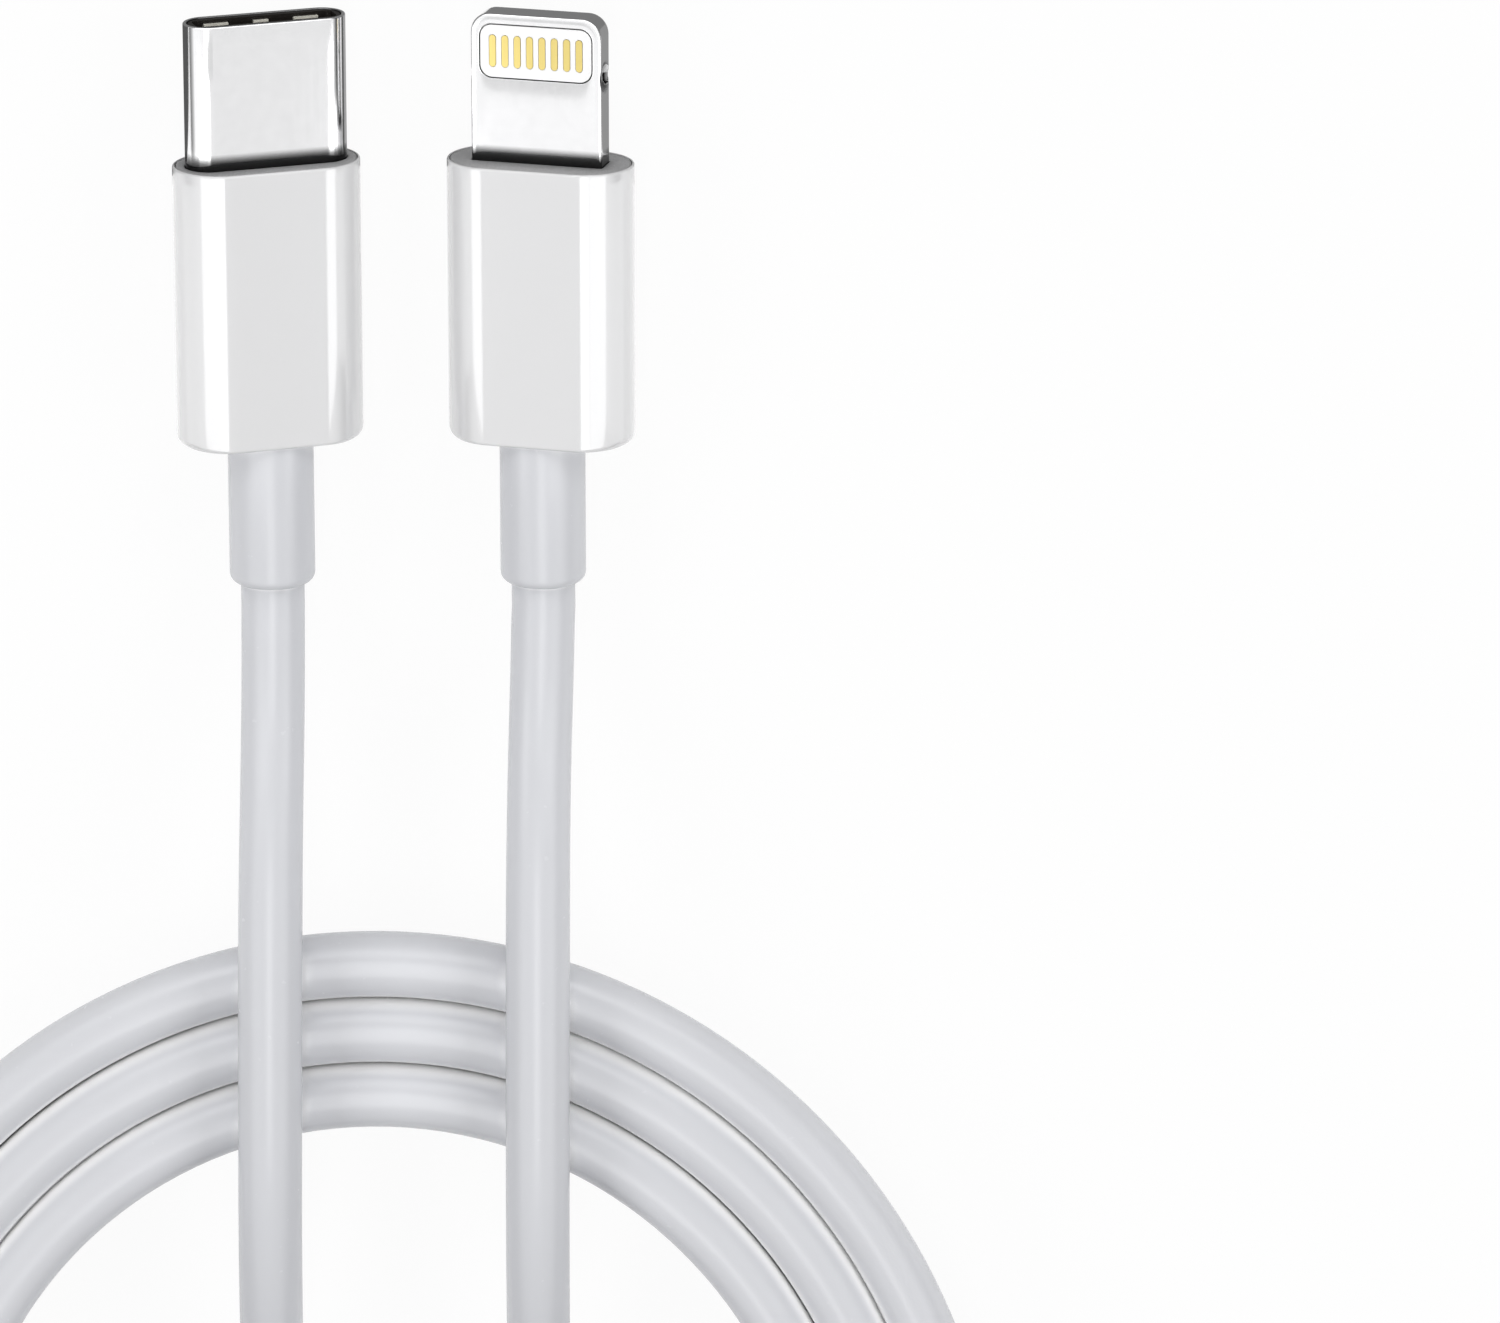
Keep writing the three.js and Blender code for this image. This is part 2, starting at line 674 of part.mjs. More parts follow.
// The white moulding in the tab's window, with a seat for each contact pad on both faces.
function contactInsert() {
  const face = tabThickness / 2 - insertRecess;
  const plan = boxOutline(
    windowWidth - 2 * clearance,
    windowLength - 2 * clearance,
    windowCorner - clearance,
    0,
    windowMiddle,
  );
  let body = acrossFace(plan, -face, face);
  const halfCard = bladeCardTongue / 2 + clearance;
  const slot = bladeCardThickness / 2 + clearance;
  const cardFront = windowMiddle + windowLength / 4;
  body = body.subtract(block(-halfCard, halfCard, 0, cardFront + clearance, -slot, slot));
  for (let i = 0; i < padCount; i++) {
    const floor = face + padProud - padThickness - clearance;
    const seat = acrossFace(padPlan(i, clearance / 2), floor, tabThickness, 0, padCurve);
    const mirrored = acrossFace(padPlan(i, clearance / 2), -tabThickness, -floor, 0, padCurve);
    body = body.subtract(seat).subtract(mirrored);
  }
  return part("blade_insert", body, finishes.insert);
}

function contactPads() {
  const face = tabThickness / 2 - insertRecess + padProud;
  const pads = [];
  for (let i = 0; i < padCount; i++) {
    const front = acrossFace(padPlan(i, 0), face - padThickness, face, 0, padCurve);
    const back = acrossFace(padPlan(i, 0), -face, padThickness - face, 0, padCurve);
    pads.push(part(`blade_pad_front_${i + 1}`, front, finishes.gold));
    pads.push(part(`blade_pad_back_${i + 1}`, back, finishes.gold));
  }
  return pads;
}

// The card reaches through the tab into the insert, and widens inside the grip.
function bladeCard() {
  const z = bladeCardThickness / 2;
  const front = windowMiddle + windowLength / 4;
  const tongue = block(-bladeCardTongue / 2, bladeCardTongue / 2, cardRear, front, -z, z);
  const wide = block(-cardWidth / 2, cardWidth / 2, cardRear, -tabTail - clearance, -z, z);
  return part("blade_card", tongue.add(wide), finishes.card);
}

// The chip lies on the card, half way between the tab's tail and the wires' tips.
function controllerChip() {
  const low = bladeCardThickness / 2 + clearance;
  const half = chipSide / 2;
  const middle = (solderFront - tabTail) / 2;
  const body = block(-half, half, middle - half, middle + half, low, low + chipHeight);
  return part("blade_chip", body, finishes.chip);
}

function bladePlug() {
  const corner = tabEdge + clearance;
  const outline = boxOutline(tabWidth + 2 * clearance, tabThickness + 2 * clearance, corner);
  const opening = alongPlug(outline, -tabTail, tabReach);
  const plug = new THREE.Group();
  plug.add(
    bladeTab(),
    contactInsert(),
    ...contactPads(),
    bladeCard(),
    controllerChip(),
    ...commonPieces("blade", opening, bladeCardThickness / 2),
  );
  plug.position.copy(bladeAxis);
  plug.rotation.y = bladeRoll;
  return plug;
}

// ---- Cord -------------------------------------------------------------------------------------------

const turn = 2 * Math.PI;

// The cord's axis in the coil at an angle from +X, which grows as the cord is wound. The upper
// layer starts at angle 0. The climb is the half turn before it, which goes round the turn that it
// will lie beside, from under it to beside it.
function coilPoint(angle) {
  let radius = coilRadius - (coilPitch * angle) / turn;
  let z = upperZ;
  const climb = climbTurns * turn;
  if (angle < -climb) {
    radius = coilRadius - coilPitch * climbTurns + (coilPitch * (angle + climb)) / turn;
    z = lowerZ;
  } else if (angle < 0) {
    const t = 1 + angle / climb;
    const lift = (Math.PI / 2) * t * (1 + t - t * t);
    radius = coilRadius - (coilPitch * (angle + turn)) / turn + coilPitch * Math.sin(lift);
    radius += climbSwell * Math.sin(2 * lift);
    z = upperZ - layerRise * Math.cos(lift);
  }
  const x = coilCentre.x + radius * Math.cos(angle);
  const y = coilCentre.y + coilStretch * radius * Math.sin(angle);
  return new THREE.Vector3(x, y, z);
}

const coilStart = -(lowerTurns + climbTurns) * turn;
const coilEnd = upperTurns * turn;

// A point straight out from an end of the coil, on a line that leaves the turn a little inwards.
function beyondCoil(angle, side, distance) {
  const step = 1e-3;
  const along = coilPoint(angle + step).sub(coilPoint(angle - step)).setZ(0).normalize();
  const inward = new THREE.Vector3(-along.y, along.x, 0);
  const way = along.multiplyScalar(side * Math.cos(endInward)).addScaledVector(inward, Math.sin(endInward));
  return coilPoint(angle).addScaledVector(way, distance);
}

// The whole winding as one unbroken tube: rings of points joined by faces, flat at both ends.
// Each section stands upright with one corner up and one down, and faces its neighbours flat.
function coilTube() {
  const centres = [beyondCoil(coilStart, -1, cordDiameter)];
  const stations = Math.round(((coilEnd - coilStart) / turn) * stepsPerTurn);
  for (let i = 0; i <= stations; i++) {
    centres.push(coilPoint(coilStart + ((coilEnd - coilStart) * i) / stations));
  }
  centres.push(beyondCoil(coilEnd, 1, cordDiameter));
  const positions = [];
  centres.forEach((centre, i) => {
    const before = centres[Math.max(i - 1, 0)];
    const after = centres[Math.min(i + 1, centres.length - 1)];
    const along = after.clone().sub(before).setZ(0).normalize();
    const outward = new THREE.Vector3(along.y, -along.x, 0);
    for (let k = 0; k < coilSides; k++) {
      const a = turn * (k / coilSides) + Math.PI / 2;
      const p = centre.clone().addScaledVector(outward, cordRadius * Math.cos(a));
      positions.push(p.x, p.y, p.z + cordRadius * Math.sin(a));
    }
  });
  const faces = [];
  for (let i = 0; i + 1 < centres.length; i++) {
    for (let k = 0; k < coilSides; k++) {
      const next = (k + 1) % coilSides;
      const a = i * coilSides + k;
      const b = i * coilSides + next;
      faces.push(a, b + coilSides, b, a, a + coilSides, b + coilSides);
    }
  }
  const last = (centres.length - 1) * coilSides;
  for (let k = 1; k + 1 < coilSides; k++) {
    faces.push(0, k, k + 1, last, last + k + 1, last + k);
  }
  const geometry = new THREE.BufferGeometry();
  geometry.setAttribute("position", new THREE.BufferAttribute(new Float32Array(positions), 3));
  geometry.setIndex(faces);
  return { geometry, centres, positions };
}

// The least distance between points of the coil's surface that are over half a turn apart.
function leastGap(positions) {
  const apart = Math.floor(stepsPerTurn / 2);
  const rings = positions.length / (3 * coilSides);
  const fine = 4; // places compared along each edge
  let least = Infinity;
  const point = (i) => new THREE.Vector3(positions[3 * i], positions[3 * i + 1], positions[3 * i + 2]);
  for (let i = 0; i + 1 < rings; i++) {
    for (let j = i + apart; j + 1 < rings; j++) {
      if (point(i * coilSides).distanceTo(point(j * coilSides)) > 4 * cordDiameter) continue;
      for (let k = 0; k < coilSides; k++) {
        for (let m = 0; m < coilSides; m++) {
          for (let f = 0; f < fine; f++) {
            const a = point(i * coilSides + k).lerp(point((i + 1) * coilSides + k), f / fine);
            const start = point(j * coilSides + m);
            const end = point((j + 1) * coilSides + m);
            const near = new THREE.Line3(start, end).closestPointToPoint(a, true, new THREE.Vector3());
            least = Math.min(least, a.distanceTo(near));
          }
        }
      }
    }
  }
  return least;
}

// A free length: straight out of the strain relief, along its route, and straight into the coil.
function tail(name, axis, route, coilAngle, side) {
  const exit = new THREE.Vector3(axis.x, axis.y - plugRear, axis.z);
  const points = [
    exit.clone().add(new THREE.Vector3(0, -buttGap, 0)),
    exit.clone().add(new THREE.Vector3(0, -buttGap - cordRadius, 0)),
    ...route.map((p) => new THREE.Vector3(...p)),
    beyondCoil(coilAngle, side, cordDiameter + buttGap + cordRadius),
    beyondCoil(coilAngle, side, cordDiameter + buttGap),
  ];
  const length = new THREE.CatmullRomCurve3(points, false, "centripetal").getLength();
  const tube = sweptTube(points, cordRadius, tailSides, tailSteps);
  return { mesh: part(name, tube, finishes.jacket), length };
}

function cord() {
  const group = new THREE.Group();
  const coil = coilTube();
  const ovalTail = tail("cord_tail_oval", ovalAxis, ovalTailRoute, coilStart, -1);
  const bladeTail = tail("cord_tail_blade", bladeAxis, bladeTailRoute, coilEnd, 1);
  group.add(ovalTail.mesh, part("cord_coil", coil.geometry, finishes.jacket), bladeTail.mesh);
  let coilLength = 0;
  for (let i = 1; i < coil.centres.length; i++) {
    coilLength += coil.centres[i].distanceTo(coil.centres[i - 1]);
  }
  const whole = ovalTail.length + coilLength + bladeTail.length;
  console.log(`cord between the strain reliefs: ${whole.toFixed(0)} mm, ${coilLength.toFixed(0)} mm coiled`);
  console.log(`coil: least gap to itself ${leastGap(coil.positions).toFixed(2)} mm`);
  return group;
}

// ---- The object -----------------------------------------------------------------------------------

const cable = new THREE.Group();
cable.add(ovalPlug(), bladePlug(), cord());

export default cable;
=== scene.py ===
# %% [markdown]
# # A charging cable, dressed
# The frame holds the cable's CAD pieces: an oval plug, a blade plug and the cord between them, coiled flat
# behind the plugs. This lesson gives the pieces that show their final surfaces, each one a numpy grid of
# points, and gives every piece a procedural material. Sizes are in millimetres until a mesh is made.

import fnmatch
import math

import bmesh
import bpy
import numpy as np
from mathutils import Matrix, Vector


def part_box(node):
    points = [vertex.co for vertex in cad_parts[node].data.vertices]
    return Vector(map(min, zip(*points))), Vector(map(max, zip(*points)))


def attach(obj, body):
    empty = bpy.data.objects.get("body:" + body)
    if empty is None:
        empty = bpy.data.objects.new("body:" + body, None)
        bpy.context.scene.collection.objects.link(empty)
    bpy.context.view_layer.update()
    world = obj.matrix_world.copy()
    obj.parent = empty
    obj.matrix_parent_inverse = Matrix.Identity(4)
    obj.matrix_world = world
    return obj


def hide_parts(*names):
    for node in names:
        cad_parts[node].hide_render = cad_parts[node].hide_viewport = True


MM = 0.001
WELD = 1e-4
TURN = 2 * math.pi

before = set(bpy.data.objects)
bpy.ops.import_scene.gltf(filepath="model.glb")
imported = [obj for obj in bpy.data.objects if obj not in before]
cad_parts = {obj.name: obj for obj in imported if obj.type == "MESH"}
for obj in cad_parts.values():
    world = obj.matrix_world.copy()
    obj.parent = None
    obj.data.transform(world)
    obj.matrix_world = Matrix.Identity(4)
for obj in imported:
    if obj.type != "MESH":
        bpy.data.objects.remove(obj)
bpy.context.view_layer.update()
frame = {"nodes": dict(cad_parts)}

# %% [markdown]
# ## Camera
# The photograph's lines hardly converge, so its lens is long. A camera can be matched by eye, but this one
# is worked out: it looks from above, tilted 18 degrees towards the cable's tail, so that the oval plug's
# mouth just shows, and its lens follows from the photograph's scale in pixels per millimetre at the plugs.

# %% Camera
CAMERA_TILT = math.radians(18)
CAMERA_DISTANCE = 500.0
CAMERA_AIM = np.array([17.165, -20.0, 0.0])
PHOTO_WIDTH = 1500
FOCAL_PIXELS = 9855.6
SENSOR_WIDTH = 36.0


def add_camera():
    """The camera stands CAMERA_DISTANCE from its aim, back along (0, sin tilt, cos tilt)."""
    data = bpy.data.cameras.new("camera")
    data.sensor_width = SENSOR_WIDTH
    data.lens = SENSOR_WIDTH * FOCAL_PIXELS / PHOTO_WIDTH
    data.clip_start = 10 * MM
    data.clip_end = 10
    camera = bpy.data.objects.new("camera", data)
    back = np.array([0, math.sin(CAMERA_TILT), math.cos(CAMERA_TILT)])
    camera.location = (CAMERA_AIM + CAMERA_DISTANCE * back) * MM
    camera.rotation_euler = (-CAMERA_TILT, 0, 0)
    bpy.context.collection.objects.link(camera)
    bpy.context.scene.camera = camera
    return camera


camera = add_camera()
bpy.context.scene.view_settings.view_transform = "Standard"
print("camera at", [round(value / MM) for value in camera.location], "lens", round(camera.data.lens, 1))

# %% [markdown]
# ## Node graphs
# Nodes can be wired one by one, but a formula is easier to read. `Wire` wraps one output socket, and
# arithmetic on wires adds Math nodes, so that 1 - mask works. `Graph.node` adds any other node, with its
# settings and with values or wires on its inputs.


# %% Graphs
class Wire:
    """One output of a node. Arithmetic on wires and numbers adds Math nodes and gives a new wire."""

    def __init__(self, graph, socket):
        self.graph = graph
        self.socket = socket

    def math(self, operation, *others):
        """The result of a Math node on this value and the others."""
        node = self.graph.node("ShaderNodeMath", {"operation": operation})
        for place, value in enumerate((self, *others)):
            self.graph.feed(node.inputs[place], value)
        return Wire(self.graph, node.outputs[0])

    def __add__(self, other):
        return self.math("ADD", other)

    def __radd__(self, other):
        return self.math("ADD", other)

    def __sub__(self, other):
        return self.math("SUBTRACT", other)

    def __rsub__(self, other):
        return self.math("MULTIPLY", -1).math("ADD", other)

    def __mul__(self, other):
        return self.math("MULTIPLY", other)

    def __rmul__(self, other):
        return self.math("MULTIPLY", other)

    def __truediv__(self, other):
        return self.math("DIVIDE", other)

    def __rtruediv__(self, other):
        return self.math("POWER", -1).math("MULTIPLY", other)

    def __pow__(self, other):
        return self.math("POWER", other)

    def clamped(self):
        """The value held between 0 and 1."""
        return self.math("MAXIMUM", 0).math("MINIMUM", 1)


class Graph:
    """The node tree of a material or world, emptied, with one way to add a node and feed its inputs."""

    def __init__(self, tree):
        self.tree = tree
        tree.nodes.clear()

    def feed(self, socket, value):
        """Link a wire to an input, or set a number, vector or colour on it."""
        if isinstance(value, Wire):
            self.tree.links.new(value.socket, socket)
        elif hasattr(value, "__len__") and socket.type == "RGBA" and len(value) == 3:
            socket.default_value = (*value, 1)
        else:
            socket.default_value = value

    def node(self, kind, settings=None, inputs=None):
        """A new node of a kind with its settings and its inputs."""
        node = self.tree.nodes.new(kind)
        for name, value in (settings or {}).items():
            setattr(node, name, value)
        for name, value in (inputs or {}).items():
            self.feed(node.inputs[name], value)
        return node

    def wire(self, node, output=0):
        """One output of a node, by its name or place."""
        return Wire(self, node.outputs[output])

    def place(self, scale=(1, 1, 1)):
        """A point of the object in millimetres, stretched by scale."""
        coordinates = self.node("ShaderNodeTexCoord")
        stretch = {"Vector": self.wire(coordinates, "Object"), "Scale": [s / MM for s in scale]}
        return self.wire(self.node("ShaderNodeMapping", None, stretch))

    def noise(self, scale, detail=3.0, stretch=(1, 1, 1)):
        """Fractal noise between 0 and 1, scale in grains per millimetre."""
        inputs = {"Vector": self.place(stretch), "Scale": scale, "Detail": detail}
        return self.wire(self.node("ShaderNodeTexNoise", None, inputs), 0)

    def blend(self, share, first, second):
        """The colour first where share is 0 and second where it is 1."""
        node = self.node("ShaderNodeMix", {"data_type": "RGBA"})
        colours = [socket for socket in node.inputs if socket.type == "RGBA"]
        self.feed(node.inputs[0], share)
        self.feed(colours[0], first)
        self.feed(colours[1], second)
        return Wire(self, next(socket for socket in node.outputs if socket.type == "RGBA"))

    def bump(self, height, depth):
        """The normal of a surface raised by height times depth millimetres."""
        inputs = {"Height": height, "Distance": depth * MM, "Strength": 1.0}
        return self.wire(self.node("ShaderNodeBump", None, inputs))


print("graphs ready")

# %% [markdown]
# ## Materials
# The cable is glossy white plastic, soft grey plastic, plated steel and gold. Painted images would hold from
# one distance only, so each finish is a recipe of procedural noise that returns the inputs of one Principled
# shader. Colours are written as the sRGB values that the eye names and turned to linear light.


# %% Materials
def srgb(red, green, blue):
    """Linear light of an 8-bit colour: ((c/255 + 0.055) / 1.055)^2.4 above the toe, c/255/12.92 in it."""
    coded = np.array([red, green, blue]) / 255
    linear = np.where(coded > 0.04045, ((coded + 0.055) / 1.055) ** 2.4, coded / 12.92)
    return tuple(linear.tolist())


def material(name, recipe):
    """A material whose Principled shader gets the inputs that recipe(graph) returns."""
    made = bpy.data.materials.new(name)
    made.use_nodes = True
    graph = Graph(made.node_tree)
    shader = graph.node("ShaderNodeBsdfPrincipled", None, recipe(graph))
    graph.node("ShaderNodeOutputMaterial", None, {"Surface": graph.wire(shader)})
    return made


# Painted light in the creases of milky plastic: where it starts, where it is full, and its colour.
PAINTED_LIGHT_OPEN = 0.75
PAINTED_LIGHT_FULL = 0.3
PAINTED_LIGHT_WHITE = (0.98, 0.98, 0.98)
# Painted shade at the feet of plated metal, where it meets other pieces.
PAINTED_SHADE_BLACK = (0.035, 0.035, 0.035)


def plastic(colour, roughness, grain=0.0, shade=0.96, gloss=0.0, painted_light_reach=0.0):
    """A moulded plastic: the colour with a soft mottle down to shade of it, and a grain of that height.

    gloss is the weight of a smooth skin over it. Painted light: within the last argument's millimetres of
    a crease, where it sees less than 0.75 of the sky, its colour turns white, and fully so at 0.3, for
    light that glows inside milky plastic in its folds.
    """

    def recipe(graph):
        base = graph.blend(graph.noise(0.35), colour, [shade * value for value in colour])
        # Painted light: the colour turns white in creases, for light glowing inside milky plastic.
        if painted_light_reach:
            crease = graph.node("ShaderNodeAmbientOcclusion", {"samples": 12}, {"Distance": painted_light_reach * MM})
            open_share = ((graph.wire(crease, "AO") - PAINTED_LIGHT_FULL) / (PAINTED_LIGHT_OPEN - PAINTED_LIGHT_FULL)).clamped()
            base = graph.blend(open_share, PAINTED_LIGHT_WHITE, base)
        inputs = {
            "Base Color": base,
            "Roughness": roughness + 0.06 * (graph.noise(2.0) - 0.5),
            "IOR": 1.46,
            "Coat Weight": gloss,
            "Coat Roughness": 0.08,
            "Coat IOR": 1.8,
        }
        if grain:
            inputs["Normal"] = graph.bump(graph.noise(9.0, 2.0), grain)
        return inputs

    return recipe


def metal(colour, roughness, streak=0.0, painted_shade_reach=0.0):
    """A bare or plated metal, brushed along the plug: streaks change its roughness and its normal.

    streak is their height. Painted shade: the metal's colour darkens towards the creases where it meets
    other pieces, within the last argument's millimetres, by the fifth power of (2 open - 1), where open is
    the share of the sky that the surface sees there. It stands for the dark reflection and shade at the
    pieces' feet.
    """

    def recipe(graph):
        brushed = graph.noise(1.0, 4.0, (7.0, 0.12, 7.0))
        base = graph.blend(graph.noise(1.5), colour, [0.93 * value for value in colour])
        # Painted shade: darker towards the creases, for the dark reflection and shade there.
        if painted_shade_reach:
            crease = graph.node("ShaderNodeAmbientOcclusion", {"samples": 24}, {"Distance": painted_shade_reach * MM})
            unshaded_share = (2 * graph.wire(crease, "AO") - 1).clamped() ** 5
            base = graph.blend(unshaded_share, PAINTED_SHADE_BLACK, base)
        inputs = {
            "Base Color": base,
            "Metallic": 1.0,
            "Roughness": roughness + 0.12 * (brushed - 0.5),
        }
        if streak:
            inputs["Normal"] = graph.bump(brushed, streak)
        return inputs

    return recipe


def speckled(colour, roughness):
    """The face plates' grey, painted shade for a face that gets little light, with fine grains that are up
    to 18% lighter or darker.
    """

    def recipe(graph):
        grains = ((graph.noise(14.0, 1.0) - 0.5) * 2.2 + 0.5).clamped()
        dark = [0.82 * value for value in colour]
        light = [1.18 * value for value in colour]
        return {
            "Base Color": graph.blend(grains, dark, light),
            "Roughness": roughness,
            "Normal": graph.bump(graph.noise(14.0, 1.0), 0.004),
        }

    return recipe


def lacquered(colour, track):
    """A circuit card's lacquer with paler tracks where a stretched wave passes a step."""

    def recipe(graph):
        waves = graph.node(
            "ShaderNodeTexWave",
            {"bands_direction": "X"},
            {"Vector": graph.place(), "Scale": 0.45, "Distortion": 1.5},
        )
        lines = ((graph.wire(waves, 1) - 0.72) * 9).clamped()
        return {"Base Color": graph.blend(lines, colour, track), "Roughness": 0.4 - 0.1 * lines}

    return recipe


MATERIALS = {
    name: material(name, recipe)
    for name, recipe in {
        "grip_white": plastic(srgb(220, 220, 221), 0.2, grain=0.0003, shade=0.985, gloss=1.0),
        # Painted shade: the face plates' grey stands for the shade on the plugs' front faces.
        "face_plate_grey": speckled(srgb(158, 158, 159), 0.55),
        # Painted light: the soft plastics turn white in their creases.
        "relief_soft_plastic": plastic(srgb(210, 211, 215), 0.26, grain=0.0006, shade=0.985, painted_light_reach=1.5),
        "cord_jacket": plastic(srgb(210, 211, 215), 0.26, grain=0.0006, shade=0.98, painted_light_reach=1.5),
        # Painted shade: the plated steel darkens in its creases.
        "bright_plated_steel": metal(srgb(248, 248, 249), 0.12, streak=0.0002, painted_shade_reach=0.87),
        "satin_steel": metal(srgb(200, 200, 203), 0.32, streak=0.001),
        # Painted highlight: the spring is steel, but a plain white here, so that its pads show as bright
        # dashes in the dark mouth, which a mirror there would not.
        "spring_steel": plastic(srgb(255, 252, 240), 0.3, shade=0.99),
        "black_lining": plastic(srgb(26, 22, 19), 0.45, grain=0.001),
        "white_insert": plastic(srgb(250, 250, 250), 0.35, grain=0.0005, shade=0.99),
        "gold_plate": metal(srgb(227, 207, 131), 0.3),
        "inner_mould": plastic(srgb(196, 198, 200), 0.6, grain=0.001),
        "tinned_can": metal(srgb(205, 206, 208), 0.38, streak=0.002),
        "circuit_card": lacquered(srgb(24, 84, 52), srgb(70, 140, 84)),
        "chip_black": plastic(srgb(30, 30, 32), 0.5, grain=0.001),
        "wire_power": plastic(srgb(196, 34, 32), 0.45),
        "wire_data_plus": plastic(srgb(40, 140, 64), 0.45),
        "wire_data_minus": plastic(srgb(236, 236, 232), 0.45),
        "wire_ground": plastic(srgb(28, 28, 30), 0.45),
    }.items()
}
print(len(MATERIALS), "materials")

# %% [markdown]
# ## Surfaces from grids
# A moulded or drawn piece has smooth sides and small even edges. Bevels on a box could make them, but a grid
# of points worked out from a formula gives each edge its own radius. Every new piece is one such grid that
# closes on itself. Its faces are turned outward by the sign of its volume, and coincident points (poles,
# collapsed flats) are welded.


# %% Grids
def grid_faces(rows, columns, wrap_rows=True):
    """Quads over rows x columns points numbered row by row.

    Face (i, j) joins the points (i, j), (i, j+1), (i+1, j+1) and (i+1, j). The column after the last is
    column 0 again, and so is the row where rows wrap.
    """
    last_row = rows if wrap_rows else rows - 1
    i, j = np.meshgrid(np.arange(last_row), np.arange(columns), indexing="ij")
    below = (i + 1) % rows
    right = (j + 1) % columns
    quads = [i * columns + j, i * columns + right, below * columns + right, below * columns + j]
    return np.stack(quads, axis=-1).reshape(-1, 4)


def signed_volume(points, faces):
    """Sum of a . (b x c + c x d) / 6 over the quads a, b, c, d: positive where they face outward."""
    a, b, c, d = (points[faces[:, k]] for k in range(4))
    return float(np.sum(a * (np.cross(b, c) + np.cross(c, d)))) / 6


def add_piece(name, points, faces, slot, *nodes):
    """A smooth mesh of quads in place of the named CAD nodes, from points in millimetres."""
    points = np.reshape(points, (-1, 3))
    if signed_volume(points, faces) < 0:
        faces = faces[:, ::-1]
    mesh = bpy.data.meshes.new(name)
    mesh.from_pydata((points * MM).tolist(), [], faces.tolist())
    work = bmesh.new()
    work.from_mesh(mesh)
    bmesh.ops.remove_doubles(work, verts=work.verts, dist=WELD * MM)
    work.to_mesh(mesh)
    work.free()
    mesh.shade_smooth()
    mesh.materials.append(MATERIALS[slot])
    piece = bpy.data.objects.new(name, mesh)
    bpy.context.collection.objects.link(piece)
    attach(piece, "root")
    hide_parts(*nodes)
    return piece


def round_trip(arc_steps=12, flat_steps=10):
    """One trip round a rounded rectangle: the outward normal's angle and the shares of both half flats.

    Each quarter arc turns the angle by 90 degrees with both shares at +-1, and the long flats between them
    carry points whose share runs as a cosine from one end to the other.
    """
    quarter = np.linspace(0, math.pi / 2, arc_steps + 1)
    along = np.cos(np.linspace(0, math.pi, flat_steps + 2)[1:-1])
    arc_ones = np.ones_like(quarter)
    flat_ones = np.ones_like(along)
    half_angle = np.concatenate([quarter - math.pi / 2, quarter, math.pi / 2 * flat_ones])
    half_x = np.concatenate([arc_ones, arc_ones, along])
    half_z = np.concatenate([-arc_ones, arc_ones, flat_ones])
    angle = np.concatenate([half_angle, half_angle + math.pi])
    return angle, np.concatenate([half_x, -half_x]), np.concatenate([half_z, -half_z])


TRIP = round_trip()


def ring(flat_x, flat_z, radius, y):
    """Rings across the plug's length: x = share_x * flat_x + radius * cos(angle), z = the same with sin.

    flat_x and flat_z are the half flats. Each argument is a column of one value per ring, or a grid of one
    value per point.
    """
    angle, share_x, share_z = TRIP
    x = share_x * flat_x + radius * np.cos(angle)
    z = share_z * flat_z + radius * np.sin(angle)
    return np.stack(np.broadcast_arrays(x, y + 0 * x, z), axis=-1)


def rings(profile):
    """Rings along a profile whose rows are (flat_x, flat_z, radius, y)."""
    flat_x, flat_z, radius, y = np.asarray(profile, float).T[:, :, None]
    return ring(flat_x, flat_z, radius, y)


def rounded(corners, radii, steps=5, closed=False):
    """A polyline in any number of dimensions with an arc of its own radius at each corner.

    With u and v the unit directions to the neighbours and 2h the angle between them, the arc's centre
    lies radius / sin(h) along u + v, and the arc runs between the points radius / tan(h) along u and v.
    """
    corners = np.asarray(corners, float)
    count = len(corners)
    pieces = []
    for place, (corner, radius) in enumerate(zip(corners, radii)):
        end = not closed and place in (0, count - 1)
        if end or radius == 0:
            pieces.append(corner[None])
            continue
        u = corners[place - 1] - corner
        v = corners[(place + 1) % count] - corner
        u, v = u / np.linalg.norm(u), v / np.linalg.norm(v)
        half = math.acos(float(u @ v)) / 2
        middle = corner + (u + v) / np.linalg.norm(u + v) * radius / math.sin(half)
        start = corner + u * radius / math.tan(half) - middle
        finish = corner + v * radius / math.tan(half) - middle
        swing = math.pi - 2 * half
        share = np.linspace(0, 1, steps + 1)[:, None]
        arc = (start * np.sin((1 - share) * swing) + finish * np.sin(share * swing)) / math.sin(swing)
        pieces.append(middle + arc)
    return np.concatenate(pieces)


print("a ring has", len(TRIP[0]), "points")

# %% [markdown]
# ## The plugs' places
# Each plug lies on the table on its grip, rolled a little about its own length. In a plug's own frame y runs
# along it to the tip with 0 at the grip's front, x across it and z through its thickness. The axis comes
# from the box of the CAD grip.

# %% Plug frames
PLUG_ROLL = {"oval": math.radians(18.5), "blade": math.radians(-15)}


def plug_axis(plug):
    """The middle of the grip's front end, in millimetres."""
    low, high = (np.array(corner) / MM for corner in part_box(plug + "_grip"))
    middle = (low + high) / 2
    return np.array([middle[0], high[1], middle[2]])


def placed(points, plug):
    """Points of a plug's own frame in the cable's: (x cos r + z sin r, y, z cos r - x sin r) + axis."""
    x, y, z = np.moveaxis(points, -1, 0)
    cosine, sine = math.cos(PLUG_ROLL[plug]), math.sin(PLUG_ROLL[plug])
    return np.stack([x * cosine + z * sine, y, z * cosine - x * sine], axis=-1) + plug_axis(plug)


